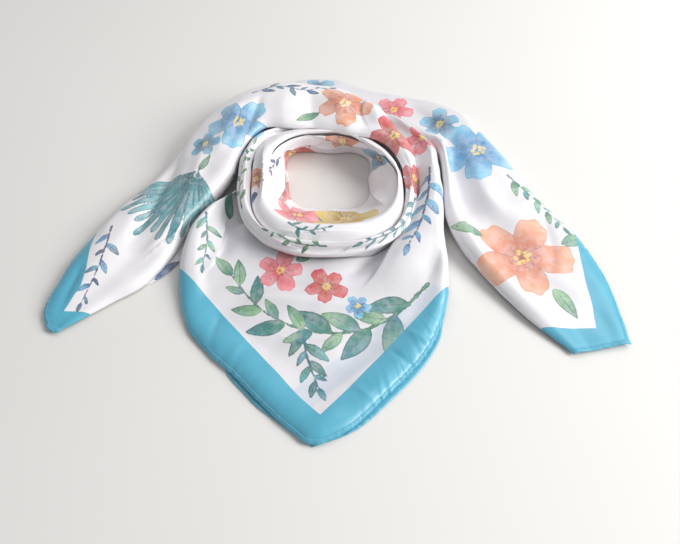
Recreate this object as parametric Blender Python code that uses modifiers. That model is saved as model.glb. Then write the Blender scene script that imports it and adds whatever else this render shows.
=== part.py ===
"""A satin square scarf, folded corner to corner, wound into a neck loop and laid flat on a table.

The scarf is one square of cloth. Each stretch of it that shows is an object: the front bib, the
coils and the inner wall of the loop, the stretch that crosses over the back, the two tails and
the turned hems. The layers that nothing shows are rounded solids with flat undersides.
Sizes and places are in millimetres and METRE turns them into metres. +X is to the right, +Y to
the back and +Z up. The origin is on the table, under the middle of the scarf.
"""

import bmesh
import bpy
import numpy as np

METRE = 0.001
MIDDLE = (-7.2, 34.2, 0)  # the middle of the scarf's outline, in the tables' own coordinates

# The cloth
WALL = 1.5          # a stretch that shows: two satin layers and the air between them
ROLL = 4.0          # radius of the soft turn at a folded edge
FLAT = 3.7          # height of a cut edge that lies on the layer below it
LEAST_DROP = 0.3    # the turn at a cut edge
SEAM = 0.45         # half the clearance where a stretch is divided

# The turned hem along a cut edge
HEM_WIDTH = 5.0
HEM_THICK = 1.0
HEM_START = 0.2     # clearance from the cut edge
HEM_LIFT = 0.7      # clearance above the cloth

# The hidden layers
HIDDEN_GAP = 1.0        # clearance below the stretch that covers them
HIDDEN_LEAST = 1.5      # least thickness
HIDDEN_SHOULDER = 0.72  # height of their rim, as a share of the height beside it
HIDDEN_GRID = (13, 7)   # points along and across

# Points round the loop, and across its wall and its second coil
AROUND = 34
WALL_COUNT = 6
SECOND_COUNT = 7
# Sections of the bib to the left and right of the square's corner, and points along each
BIB_GRID = (16, 22, 9)
BIB_HIDDEN = (slice(4, -10), slice(1, 6, 2))  # the sections and points above its hidden layers
# Sections of the two lower layers that show, and the least step to the square's corner
BIB_LOWER_SECTIONS = 24
TAIL_LOWER_SECTIONS = 12
CORNER_CLEAR = 4

SATIN_WHITE = (0.86, 0.85, 0.88)
BORDER_BLUE = (0.09, 0.42, 0.58)
SATIN_ROUGHNESS = 0.35
HIDDEN_ROUGHNESS = 0.5

# Lines of the neck loop. Each is a closed oval round the neck.
# name: middle x, y; half width, half depth;
# fullness of the back right, back left, front left and front right corners;
# height at the right, back, left and front
LOOP = {
    "foot": (-13, 113, 47, 45, 0.25, 0.30, 0.14, 0.20, 1.4, 1.4, 1.4, 1.4),
    "wall": (-12, 98, 56, 56, 0.12, 0.20, 0.13, 0.14, 21, 22, 22, 19),
    "brim": (-9, 81, 69, 70, -0.12, 0.11, 0.12, 0.09, 38, 34.5, 38, 38),
    "brim_top": (-9, 79, 72, 73, -0.12, 0.10, 0.12, 0.09, 40, 36, 40, 40.5),
    "lip": (-9, 79, 71, 72, -0.12, 0.10, 0.12, 0.09, 42.5, 38.5, 42.7, 43),
    "rim": (-10, 77, 74.2, 75, -0.11, 0.11, 0.12, 0.10, 45.5, 41, 46.4, 46),
    "second_top": (-12, 75, 79, 80, -0.02, 0.14, 0.11, 0.11, 43.5, 40, 44.7, 43.8),
    "second_edge": (-14, 74, 83, 84.5, 0.00, 0.17, 0.09, 0.13, 38, 36.5, 38, 37),
    "second_foot": (-14, 74, 82.8, 84.2, 0.00, 0.17, 0.09, 0.13, 29, 29, 29, 28),
    "crease": (-14, 74, 84.6, 86.2, 0.00, 0.17, 0.09, 0.13, 40, 36, 39, 38),
    "coil_edge": (-14, 75, 99, 95.5, 0.06, 0.19, 0.06, 0.08, 38, 33, 35, 31),
    "coil_foot": (-14, 75, 97, 93.5, 0.06, 0.19, 0.06, 0.08, 33, 25, 23, 20.5),
    "core_foot_inner": (-13, 113.5, 49.6, 47.8, 0.25, 0.30, 0.14, 0.20, 0, 0, 0, 0),
    "core_wall": (-12, 98.6, 59, 59.5, 0.13, 0.20, 0.13, 0.14, 19, 20, 20, 17),
    "core_brim": (-9, 80, 73.5, 77, 0.03, 0.12, 0.12, 0.09, 27, 25, 32, 31),
    "core_top": (-12, 76, 80, 82, 0.04, 0.15, 0.11, 0.11, 25, 24.5, 26, 25),
    "core_shoulder": (-14, 75, 89, 87, 0.04, 0.16, 0.07, 0.09, 23, 23, 20, 18),
    "core_side": (-14, 75, 91, 89, 0.05, 0.17, 0.06, 0.08, 14, 14, 12, 10),
    "core_foot_outer": (-14, 75, 91, 89, 0.05, 0.17, 0.06, 0.08, 0, 0, 0, 0),
    "tuck": (-14, 75, 92.2, 90.2, 0.05, 0.17, 0.06, 0.08, 18, 16, 14, 15),
}

# Sections of the front bib, from the left shoulder round the corner of the square to the pleat at
# the right and on behind the band. Each section runs from under the outer coil to an edge.
# edge x, y, z; heights at one and two thirds of the way; drop and run of the edge's foot
BIB = [
    (-119, 79, 20, 14, 17, 9, 0),
    (-135, 60, 25, 12, 20, 15, 1),
    (-149, 40, 27, 14, 22, 18, 2),
    (-160, 19, 26, 17, 24, 18, 2),
    (-165, -2, 22, 19, 22, 17, 2),
    (-167, -30, 15, 17, 16, 12, 2),
    (-163, -62, 9, 14.5, 11.5, 5.5, 1),
    (-150, -99, 4.5, 12.5, 8, 0.8, 0),
    (-126, -128, FLAT, 11.5, 6, 0, 0),
    (-103, -149, FLAT, 11, 5.6, 0, 0),
    (-62, -192, FLAT, 10, 5.2, 0, 0),
    (-25, -222, FLAT, 10, 5.2, 0, 0),
    (9, -206, FLAT, 10, 5.2, 0, 0),
    (45, -171, FLAT, 11, 5.8, 0, 0),
    (83, -128, 4.2, 13.5, 8, 0.4, 0),
    (102, -88, 9, 18, 13, 5, 1),
    (110, -55, 17, 23, 20, 13, 2),
    (111, -12, 28, 28, 30, 24, 2),
    (107, 29, 38, 31, 37, 34, 2),
    (107, 70, 45, 32, 41, 41, 2),
    (107, 98, 48.5, 33, 44, 43, 2),
    (106, 121, 50, 34, 44, 42, 2),
    (96, 140, 49, 33, 42, 28, 3),
    (82, 159, 47.5, 33, 38, 26, 4),
    (64, 182, 44, 30, 33, 22, 4),
    (48, 193, 36, 25, 27, 14, 3),
    (33, 200, 27, 19, 20, 9, 2),
]
BIB_CORNER = 11
BIB_HEM = (7.6, 15.4)

# Sections of the stretch on top: from the left tail's tip over the left shoulder, over the back
# of the loop and down its right side. There the loop's own lines carry it on as the outer coil.
# inner edge x, y, z; heights at one and two thirds; outer edge x, y, z;
# drop and run of the inner foot; drop and run of the outer foot
OVER = [
    (-281, -101, 3.7, 4.2, 4.2, -291, -98, 3.7, 0, 0, 0, 0),
    (-267, -90, 4.5, 6, 7, -298, -80, 4.5, 1.5, 0, 0.5, 0),
    (-232, -64, 7.5, 11, 14, -292, -42, 9, 5.2, 0, 3, 0),
    (-199, -38, 11, 14, 20, -268, 21, 12, 8.5, -1, 8, -1),
    (-178, -5, 16, 18, 24, -232, 72, 15, 13, -2, 12, -2),
    (-164, 29, 22, 23, 27, -199, 122, 20, 16, -1, 16, 2),
    (-142, 64, 29, 33, 34, -176, 165, 28, 18, -1, 24, 3),
    (-122, 94, 35, 42, 44, -150, 203, 34, 16, -1, 30, 4),
    (-112, 126, 40, 47, 50, -112, 236, 38, 8, -1, 28, 6),
    (-86, 160, 45, 51, 53, -68, 246, 41, 2.5, 0, 22, 8),
    (-46, 157, 46, 51, 54, -38, 240, 44, 2.5, 0, 21, 8),
    (-5, 151, 46, 50, 53, 2, 229, 45, 2.5, 0, 20, 8),
    (24, 144, 46.5, 50, 52, 22, 214, 47, 2.5, 0, 15, 5),
    (46, 135, 46.5, 50, 53, 47, 187, 50, 2.5, 0, 9, 4),
    (61, 118, 45.5, 49, 51, 66, 152, 48, 4, 0, 7, 3),
    (69, 98, 43.5, 47, 48, 79, 131, 44, 6, -0.5, 7, 1),
    (70.6, 80, 41, 45, 45, 85, 106, 40, 9, -1, 7, -1),
]
COIL_ANGLES = (-12, -28, -45, -62, -80, -98, -116, -134, -152, -170, -188, -206, -222, -236, -248)
COIL_RISE = (3.5, 3.0)
COIL_FEET = (10, -1, -2)     # drop and run of the inner foot, run of the outer foot
OVER_HEM_END = 3.1
OVER_NAMED = {"tail_left": (0, 6), "crossing_band": (6, 17), "loop_outer_coil": (17, 31)}
OVER_SECTIONS = {"tail_left": 12, "crossing_band": 20, "loop_outer_coil": 28}
OVER_COUNTS = {"tail_left": 12, "crossing_band": 12, "loop_outer_coil": 9}

# Hidden layers under that stretch: place in the table; distances kept from the two edges
OVER_HIDDEN = {
    "tail_left_hidden_layers": [(1.6, 12, 8), (3.5, 14, 9), (4.8, 12, 9), (5.8, 10, 10)],
    "crossing_hidden_layers": [(6.2, 8, 9), (7, 9, 12), (8, 22, 22), (9, 32, 28.6), (10, 26, 25.5),
                               (11.2, 25, 28)],
}

# Sections of the stretch that passes under the crossing, round the back, and becomes the right
# tail. The columns are those of the stretch on top.
BELOW = [
    (-106, 218, 4.5, 5, 5, -100, 250, 4.5, 3, 0, 3, 0),
    (-86, 218, 9, 11, 11, -78, 269, 9, 7, 0, 7, 0),
    (-60, 222, 13, 16, 15, -56, 285, 12, 11, -1, 10, 0),
    (-8, 224, 15, 18, 17, -6, 288, 12, 12, -1, 10, 0),
    (38, 211, 16, 19, 20, 44, 262, 15, 13, -1, 13, 0),
    (70, 187, 17, 20, 22, 88, 244, 19, 12, -1, 17, 1),
    (94, 163, 23, 21, 26, 124, 228, 23, 14, -1, 21, 2),
    (112, 126, 44, 23, 28, 154, 204, 24, 28, 0, 22, 3),
    (116, 84, 42, 20, 27, 170, 176, 22, 30, 0, 20, 3),
    (118, 42, 31, 17, 24, 190, 141, 20, 26, -1, 18, 2),
    (137, -12, 21, 14, 20, 222, 76, 15, 17, -2, 13, 0),
    (171, -65, 13, 11, 15, 258, 18, 10, 9, -2, 4, 0),
    (199, -98, 8, 8, 10, 278, -42, 6, 4, -1, 0.3, 0),
    (227, -126, 4, 4.5, 5, 285, -115, 4, 0, 0, 0, 0),
]
BELOW_HEM_START = 10.8
BELOW_NAMED = {"back_stretch": (0, 4), "tail_right": (4, 13)}
BELOW_SECTIONS = {"back_stretch": 7, "tail_right": 20}
BELOW_COUNT = 12
BELOW_HIDDEN = {
    "back_hidden_layers": [(1.2, 8, 8), (2.5, 8, 8), (3.9, 8, 8)],
    "tail_right_hidden_layers": [(4.2, 8, 8), (6, 10, 8), (7, 18, 8), (8, 24, 9), (9.5, 18, 9), (11.6, 9, 9)],
}

# The lower layer where it shows beyond the top one: outer edge x, y; inner edge x, y
UNDER_BIB = [
    (-113, -138, -100, -126),
    (-106, -150, -92, -138),
    (-91, -167, -76, -152),
    (-76, -183, -62, -168),
    (-62, -194, -50, -180),
    (-40, -211, -36, -190),
    (-24, -220, -25, -198),
    (12, -207, -2, -188),
    (49, -174, 30, -155),
    (86, -131, 66, -116),
    (99, -107, 78, -94),
    (104, -86, 84, -80),
]
UNDER_BIB_CORNER = 6
UNDER_TAIL = [
    (-207, -42, -210, -32),
    (-199, -39, -204, -26),
    (-189, -31, -196, -18),
    (-177, -17, -186, -6),
    (-168, -2, -176, 8),
    (-164, 10, -172, 16),
]


# ---------------------------------------------------------------- curves

def smooth(knots, values, at):
    """A smooth curve through values at increasing knots, read at other places."""
    knots = np.asarray(knots, float)
    values = np.asarray(values, float)
    at = np.clip(np.asarray(at, float), knots[0], knots[-1])
    steps = np.diff(knots)
    wide = (-1,) + (1,) * (values.ndim - 1)
    slopes = np.diff(values, axis=0) / steps.reshape(wide)
    tangents = np.empty_like(values)
    tangents[0] = slopes[0]
    tangents[-1] = slopes[-1]
    for i in range(1, len(knots) - 1):
        share = steps[i - 1] / (steps[i - 1] + steps[i])
        tangents[i] = slopes[i - 1] * (1 - share) + slopes[i] * share
    i = np.clip(np.searchsorted(knots, at, side="right") - 1, 0, len(steps) - 1)
    step = steps[i].reshape(wide)
    t = (at - knots[i]).reshape(wide) / step
    start = values[i] * (2 * t**3 - 3 * t**2 + 1) + tangents[i] * step * (t**3 - 2 * t**2 + t)
    end = values[i + 1] * (3 * t**2 - 2 * t**3) + tangents[i + 1] * step * (t**3 - t**2)
    return start + end


def travel(points):
    """Distance along a run of points."""
    steps = np.linalg.norm(np.diff(points, axis=0), axis=1)
    return np.concatenate([[0], np.cumsum(steps)])


def resample(points, count):
    """A run of points read again at an even spacing."""
    along = travel(points)
    return smooth(along, points, np.linspace(0, along[-1], count))


def loop_line(name, angles):
    """Points of one of the loop's lines, at angles in degrees from +X towards +Y."""
    x, y, width, depth, *shape = LOOP[name]
    corners = np.array(shape[:4])
    heights = np.array(shape[4:] + shape[4:5], float)
    turned = np.mod(angles, 360)
    quarter = np.clip((turned // 90).astype(int), 0, 3)
    t = turned / 90 - quarter
    ease = t * t * (3 - 2 * t)
    turn = np.radians(turned)
    full = 1 + corners[quarter] * np.sin(2 * turn) ** 2
    z = heights[quarter] * (1 - ease) + heights[quarter + 1] * ease
    return np.stack([x + width * full * np.cos(turn), y + depth * full * np.sin(turn), z], axis=1)


# ---------------------------------------------------------------- surfaces

def section_points(inner, outer, heights, feet):
    """Distance and height along a section: inner foot, edge, crest, edge and outer foot."""
    width = float(np.linalg.norm((outer - inner)[:2]))
    drop_in, run_in, drop_out, run_out = feet
    roll_in = min(ROLL, 0.5 * drop_in, 0.3 * width)
    roll_out = min(ROLL, 0.5 * drop_out, 0.3 * width)
    points = [(roll_in, inner[2]), (width / 3, heights[0]), (2 * width / 3, heights[1])]
    points += [(width - roll_out, outer[2])]
    if drop_in > 0:
        points = [(-run_in, inner[2] - drop_in), (0, inner[2] - roll_in)] + points
    if drop_out > 0:
        points += [(width, outer[2] - roll_out), (width + run_out, outer[2] - drop_out)]
    return np.array(points, float), width


def section(inner, outer, heights, feet, count):
    """A section of a stretch of cloth as points in space."""
    points, width = section_points(inner, outer, heights, feet)
    curve = resample(points, count)
    direction = (outer - inner)[:2] / width
    return np.column_stack([inner[:2] + curve[:, :1] * direction, curve[:, 1]])


def hidden_section(inner, outer, heights, keep_in, keep_out, count):
    """The part of a section between two distances kept from its edges."""
    points, width = section_points(inner, outer, heights, (0, 0, 0, 0))
    across = np.linspace(keep_in, width - keep_out, count)
    z = smooth(points[:, 0], points[:, 1], across)
    direction = (outer - inner)[:2] / width
    return np.column_stack([inner[:2] + across[:, None] * direction, z])


def stretch_rows(rows, places):
    """A table of sections read smoothly at places counted in its rows."""
    rows = np.array(rows, float)
    middles = (rows[:, 0:2] + rows[:, 5:7]) / 2
    knots = travel(middles)
    return smooth(knots, rows, np.interp(places, range(len(rows)), knots))


def even_places(rows, start, end, count, hemmed=False):
    """Places counted in rows, evenly spaced along a stretch and clear of its seams.

    A hemmed end has one more place just behind the hem.
    """
    rows = np.array(rows, float)
    knots = travel((rows[:, 0:2] + rows[:, 5:7]) / 2)
    ends = np.interp([start, end], range(len(rows)), knots)
    last = len(rows) - 1
    at = np.linspace(ends[0] + SEAM * (start > 0), ends[1] - SEAM * (end < last), count)
    if start == 0 and hemmed:
        at = np.insert(at, 1, HEM_WIDTH + SEAM)
    if end == last and hemmed:
        at = np.insert(at, count - 1, ends[1] - HEM_WIDTH - SEAM)
    return np.interp(at, knots, range(len(rows)))


def stretch(rows, places, count):
    """The surface of a stretch of cloth at some places in its table."""
    made = stretch_rows(rows, places)
    made[:, (8, 10)] = np.maximum(made[:, (8, 10)], LEAST_DROP)
    return np.array([section(r[0:3], r[5:8], r[3:5], r[8:12], count) for r in made])


def over_rows():
    """The stretch on top, with the rows of the outer coil taken from the loop's own lines."""
    rows = [list(row) for row in OVER]
    angles = np.array(COIL_ANGLES, float)
    inner = loop_line("crease", angles)
    outer = loop_line("coil_edge", angles)
    foot = loop_line("coil_foot", angles)
    for a, b, c in zip(inner, outer, foot):
        crest = (a[2] + COIL_RISE[0], (a[2] + b[2]) / 2 + COIL_RISE[1])
        rows.append([*a, *crest, *b, COIL_FEET[0], COIL_FEET[1], b[2] - c[2], COIL_FEET[2]])
    return rows


def bib_rows(sections_left, sections_right):
    """The bib's table read smoothly, with the corner of the square kept sharp."""
    rows = np.array(BIB, float)
    knots = travel(rows[:, :2])
    at = np.concatenate([
        np.linspace(0, knots[BIB_CORNER], sections_left, endpoint=False),
        np.linspace(knots[BIB_CORNER], knots[-1], sections_right),
    ])
    made = smooth(knots, rows, at)
    left = at <= knots[BIB_CORNER]
    made[left, :2] = smooth(knots[:BIB_CORNER + 1], rows[:BIB_CORNER + 1, :2], at[left])
    made[~left, :2] = smooth(knots[BIB_CORNER:], rows[BIB_CORNER:, :2], at[~left])
    return made, np.interp(at, knots, range(len(rows)))


def tuck_point(edge):
    """Where a section of the bib starts, under the outer coil, on the way to its edge."""
    middle = np.array(LOOP["tuck"][:2])
    angle = np.degrees(np.arctan2(edge[1] - middle[1], edge[0] - middle[0]))
    return loop_line("tuck", np.array([angle]))[0]


def bib_surface(sections_left, sections_right, count):
    """The front bib, from its tucked top to its edge, and the place of each section in its table."""
    rows, places = bib_rows(sections_left, sections_right)
    rows[:, 5] = np.maximum(rows[:, 5], LEAST_DROP)
    surface = [section(tuck_point(r[:3]), r[:3], r[3:5], (0, 0, r[5], r[6]), count) for r in rows]
    return np.array(surface), places


def hidden_surface(rows, keeps):
    """The part of a stretch that hidden layers fill, from places and distances kept from its edges."""
    keeps = np.array(keeps, float)
    sections, count = HIDDEN_GRID
    places = np.linspace(keeps[0, 0], keeps[-1, 0], sections)
    kept = smooth(keeps[:, 0], keeps[:, 1:], places)
    read = stretch_rows(rows, places)
    return np.array([hidden_section(r[0:3], r[5:8], r[3:5], *k, count) for r, k in zip(read, kept)])


def loop_surface(names, angles, count):
    """A surface swept round the loop through some of its lines."""
    lines = np.stack([loop_line(name, angles) for name in names], axis=1)
    return np.array([resample(points, count) for points in lines])


def normals(surface):
    """The direction square to a surface at each of its points, upwards on the whole."""
    along = np.gradient(surface, axis=0)
    across = np.gradient(surface, axis=1)
    made = np.cross(along, across)
    made /= np.maximum(np.linalg.norm(made, axis=2, keepdims=True), 1e-9)
    if made[..., 2].sum() < 0:
        made = -made
    return made


def lift(surface):
    """A surface moved out by the clearance between pieces."""
    return surface + normals(surface) * HEM_LIFT


def hem_surface(lines):
    """A narrow strip along the ends of some lines that run inwards from a cut edge."""
    strip = []
    for line in lines:
        along = travel(line)
        reach = np.array([HEM_START, HEM_WIDTH / 2, HEM_WIDTH])
        strip.append(np.stack([np.interp(reach, along, line[:, k]) for k in range(3)], axis=1))
    return np.array(strip)


def edge_layer(table, corner, count):
    """The flat strip of a lower layer, from its table of outer and inner edges."""
    rows = np.array(table, float)
    knots = travel(rows[:, :2])
    at = np.linspace(0, knots[-1], count)
    if corner is not None:
        at = np.sort(np.append(at[np.abs(at - knots[corner]) > CORNER_CLEAR], knots[corner]))
    read = np.column_stack([np.interp(at, knots, rows[:, k]) for k in range(4)])
    top = np.full(len(at), WALL)
    inner = np.column_stack([read[:, 2:4], top])
    outer = np.column_stack([read[:, 0:2], top])
    return np.stack([inner, outer], axis=1)


# ---------------------------------------------------------------- objects

def material(name, colour, roughness):
    made = bpy.data.materials.new(name)
    made.use_nodes = True
    shader = made.node_tree.nodes["Principled BSDF"]
    shader.inputs["Base Color"].default_value = (*colour, 1)
    shader.inputs["Roughness"].default_value = roughness
    shader.inputs["Metallic"].default_value = 0
    return made


def grid_faces(rows, columns, wrap_rows=False, wrap_columns=False):
    """The quads of a grid of points, by point number."""
    faces = []
    for i in range(rows if wrap_rows else rows - 1):
        for j in range(columns if wrap_columns else columns - 1):
            a = i * columns + j
            b = i * columns + (j + 1) % columns
            c = (i + 1) % rows * columns + (j + 1) % columns
            d = (i + 1) % rows * columns + j
            faces.append((a, b, c, d))
    return faces


class Scarf:
    """Puts the scarf's objects into their collection."""

    def __init__(self):
        self.collection = bpy.data.collections.new("satin_scarf")
        bpy.context.scene.collection.children.link(self.collection)

    def add(self, name, points, faces, colour, roughness):
        mesh = bpy.data.meshes.new(name)
        mesh.from_pydata(((points - np.array(MIDDLE)) * METRE).tolist(), [], faces)
        shaped = bmesh.new()
        shaped.from_mesh(mesh)
        bmesh.ops.recalc_face_normals(shaped, faces=shaped.faces)
        shaped.to_mesh(mesh)
        shaped.free()
        mesh.materials.append(material(name + "_satin", colour, roughness))
        mesh.shade_smooth()
        made = bpy.data.objects.new(name, mesh)
        self.collection.objects.link(made)
        return made

    def cloth(self, name, surface, colour=SATIN_WHITE, wrap=False, thickness=WALL, outwards=False):
        """A wall of cloth below a surface, or above it when it points outwards."""
        rows, columns = surface.shape[:2]
        faces = grid_faces(rows, columns, wrap_rows=wrap)
        made = self.add(name, surface.reshape(-1, 3), faces, colour, SATIN_ROUGHNESS)
        up = sum(face.normal.z * face.area for face in made.data.polygons)
        if up < 0:
            made.data.flip_normals()
        wall = made.modifiers.new("wall", "SOLIDIFY")
        wall.thickness = thickness * METRE
        wall.offset = 1 if outwards else -1
        return made

    def hem(self, name, lines):
        """The turned hem along a cut edge, as a strip laid on the cloth."""
        self.cloth(name, hem_surface(lines), BORDER_BLUE, thickness=HEM_THICK, outwards=True)

    def hidden(self, name, surface):
        """A rounded solid under a surface, down to the table."""
        top = surface - normals(surface) * (WALL + HIDDEN_GAP)
        top[..., 2] = np.maximum(top[..., 2], HIDDEN_LEAST)
        for border in (np.s_[0, :], np.s_[-1, :], np.s_[:, 0], np.s_[:, -1]):
            top[border][..., 2] *= HIDDEN_SHOULDER
        rows, columns = top.shape[:2]
        bottom = top.copy()
        bottom[..., 2] = 0
        count = rows * columns
        faces = grid_faces(rows, columns)
        lower = [tuple(count + i for i in face[::-1]) for face in faces]
        rim = [i * columns for i in range(rows)]
        rim += [(rows - 1) * columns + j for j in range(1, columns)]
        rim += [i * columns + columns - 1 for i in range(rows - 2, -1, -1)]
        rim += [j for j in range(columns - 2, 0, -1)]
        sides = [(a, b, count + b, count + a) for a, b in zip(rim, rim[1:] + rim[:1])]
        points = np.concatenate([top.reshape(-1, 3), bottom.reshape(-1, 3)])
        return self.add(name, points, faces + lower + sides, SATIN_WHITE, HIDDEN_ROUGHNESS)

    def ring(self, name, profile):
        """A closed ring from a closed section at each angle."""
        rows, columns = profile.shape[:2]
        faces = grid_faces(rows, columns, wrap_rows=True, wrap_columns=True)
        return self.add(name, profile.reshape(-1, 3), faces, SATIN_WHITE, HIDDEN_ROUGHNESS)


def main():
    for old in list(bpy.data.objects):
        bpy.data.objects.remove(old)
    scarf = Scarf()
    around = np.linspace(0, 360, AROUND, endpoint=False)

    # The neck loop
    wall = ["foot", "wall", "brim", "brim_top"]
    coil = ["lip", "rim", "second_top", "second_edge", "second_foot"]
    core = ["core_foot_inner", "core_wall", "core_brim", "core_top", "core_shoulder", "core_side",
            "core_foot_outer"]
    scarf.cloth("loop_inner_wall", loop_surface(wall, around, WALL_COUNT), wrap=True)
    scarf.cloth("loop_second_coil", loop_surface(coil, around, SECOND_COUNT), wrap=True)
    scarf.ring("loop_hidden_layers", np.stack([loop_line(name, around) for name in core], axis=1))

    # The front bib
    bib, places = bib_surface(*BIB_GRID)
    scarf.cloth("bib", bib)
    hemmed = (places >= BIB_HEM[0]) & (places <= BIB_HEM[1])
    scarf.hem("hem_bib", lift(bib)[hemmed][:, ::-1])
    scarf.hidden("bib_hidden_layers", bib[BIB_HIDDEN])
    lower = edge_layer(UNDER_BIB, UNDER_BIB_CORNER, BIB_LOWER_SECTIONS)
    scarf.cloth("bib_lower_layer", lower, BORDER_BLUE)

    # The stretch on top: left tail, crossing and outer coil
    rows = over_rows()
    for name, (start, end) in OVER_NAMED.items():
        places = even_places(rows, start, end, OVER_SECTIONS[name], start == 0)
        made = stretch(rows, places, OVER_COUNTS[name])
        scarf.cloth(name, made)
        if start == 0:
            scarf.hem("hem_tail_left_side", lift(made)[(places <= OVER_HEM_END)][1:, ::-1])
            scarf.hem("hem_tail_left_end", lift(made)[:2].transpose(1, 0, 2))
    scarf.cloth("tail_left_lower_layer", edge_layer(UNDER_TAIL, None, TAIL_LOWER_SECTIONS))
    for name, keeps in OVER_HIDDEN.items():
        scarf.hidden(name, hidden_surface(rows, keeps))

    # The stretch below: round the back, and the right tail
    for name, (start, end) in BELOW_NAMED.items():
        places = even_places(BELOW, start, end, BELOW_SECTIONS[name], start > 0)
        made = stretch(BELOW, places, BELOW_COUNT)
        scarf.cloth(name, made)
        if start > 0:
            scarf.hem("hem_tail_right_side", lift(made)[(places >= BELOW_HEM_START)][:-1, ::-1])
            scarf.hem("hem_tail_right_end", lift(made)[:-3:-1].transpose(1, 0, 2))
    for name, keeps in BELOW_HIDDEN.items():
        scarf.hidden(name, hidden_surface(BELOW, keeps))


main()
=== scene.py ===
"""Looks of the satin bandana: a square scarf wound into a neck loop and laid flat on a table.

Each stretch of cloth is a fine, slim shell on the form of its CAD solid, with its creases, turned
hem, stitching, border and print. The print is a generic watercolour of leaves and flowers.
Sizes and places in the tables are in millimetres, as in part.py.
"""

import math

import bmesh
import bpy
import numpy as np
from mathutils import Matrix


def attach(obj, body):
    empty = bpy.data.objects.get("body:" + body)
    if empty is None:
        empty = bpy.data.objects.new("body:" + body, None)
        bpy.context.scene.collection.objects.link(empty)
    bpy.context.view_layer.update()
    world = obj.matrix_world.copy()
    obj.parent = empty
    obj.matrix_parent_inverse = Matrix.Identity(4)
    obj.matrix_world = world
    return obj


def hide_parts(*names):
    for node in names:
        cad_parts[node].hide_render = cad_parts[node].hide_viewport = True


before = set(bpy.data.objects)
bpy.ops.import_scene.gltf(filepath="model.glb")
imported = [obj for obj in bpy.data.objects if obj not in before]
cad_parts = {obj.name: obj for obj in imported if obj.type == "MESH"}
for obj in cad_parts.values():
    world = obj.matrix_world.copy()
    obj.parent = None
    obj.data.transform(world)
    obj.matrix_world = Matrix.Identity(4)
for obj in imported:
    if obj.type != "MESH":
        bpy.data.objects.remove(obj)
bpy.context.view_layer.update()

METRE = 0.001
MIDDLE = np.array((-7.2, 34.2, 0.0))   # the row frame's origin, in the tables' own coordinates

# The cloth
SHEET = 0.6          # thickness of a shell
HEM_WIDTH = 5.0
ROLL = 4.0           # radius of the soft turn at a folded edge
LEAST_DROP = 0.3     # the turn at a cut edge
FLAT = 3.7           # height of a cut edge that lies on the layer below it
FAR = 999.0

# Lines of the neck loop. Each is a closed oval round the neck.
# name: middle x, y; half width, half depth;
# fullness of the back right, back left, front left and front right corners;
# height at the right, back, left and front
LOOP = {
    "foot": (-13, 113, 47, 45, 0.25, 0.30, 0.14, 0.20, 1.4, 1.4, 1.4, 1.4),
    "wall": (-12, 98, 56, 56, 0.12, 0.20, 0.13, 0.14, 21, 22, 22, 19),
    "brim": (-9, 81, 69, 70, -0.13, 0.11, 0.12, 0.09, 38, 36, 38, 38),
    "brim_top": (-9, 79, 71.8, 72.7, -0.145, 0.10, 0.12, 0.09, 40, 37.5, 40, 40.5),
    "lip_under": (-9, 79, 72.2, 73.0, -0.145, 0.10, 0.12, 0.09, 41.6, 39, 42, 42),
    "lip": (-9, 79, 71.2, 72.4, -0.135, 0.10, 0.12, 0.09, 43.6, 40.8, 44.4, 44.2),
    "rim": (-10, 77, 73.6, 74.4, -0.135, 0.11, 0.12, 0.10, 45.8, 42.8, 46.8, 46.4),
    "second_top": (-12, 75, 79, 80, -0.03, 0.14, 0.11, 0.11, 43.5, 42, 44.5, 43.5),
    "second_edge": (-14, 74, 83, 84.5, 0.00, 0.17, 0.09, 0.13, 38, 39, 38, 37),
    "second_foot": (-14, 74, 82.8, 84.2, 0.00, 0.17, 0.09, 0.13, 29, 30, 29, 28),
    "crease": (-14, 74, 84.6, 86.2, 0.00, 0.17, 0.09, 0.13, 42, 40, 39, 38),
    "coil_edge": (-14, 75, 99, 95.5, 0.06, 0.19, 0.06, 0.08, 38, 33, 35, 31),
    "coil_foot": (-14, 75, 97, 93.5, 0.06, 0.19, 0.06, 0.08, 33, 25, 23, 20.5),
    "core_foot_inner": (-13, 113.5, 49.6, 47.8, 0.25, 0.30, 0.14, 0.20, 0, 0, 0, 0),
    "core_wall": (-12, 98.6, 59, 59.5, 0.13, 0.20, 0.13, 0.14, 19, 20, 20, 17),
    "core_brim": (-9, 80, 73.5, 77, 0.03, 0.12, 0.12, 0.09, 27, 25, 32, 31),
    "core_top": (-12, 76, 80, 82, 0.04, 0.15, 0.11, 0.11, 25, 24.5, 26, 25),
    "core_shoulder": (-14, 75, 89, 87, 0.04, 0.16, 0.07, 0.09, 23, 23, 20, 18),
    "core_side": (-14, 75, 91, 89, 0.05, 0.17, 0.06, 0.08, 14, 14, 12, 10),
    "core_foot_outer": (-14, 75, 91, 89, 0.05, 0.17, 0.06, 0.08, 0, 0, 0, 0),
    "tuck": (-14, 75, 92.2, 90.2, 0.05, 0.17, 0.06, 0.08, 18, 16, 14, 15),
}

# The lines through which the loop's surfaces and its inner layers run
SECOND_LINES = ("lip_under", "lip", "rim", "second_top", "second_edge", "second_foot")
INNER_LINES = ("foot", "wall", "brim", "brim_top")
CORE_LINES = ("core_foot_inner", "core_wall", "core_brim", "core_top", "core_shoulder", "core_side",
              "core_foot_outer")

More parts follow.
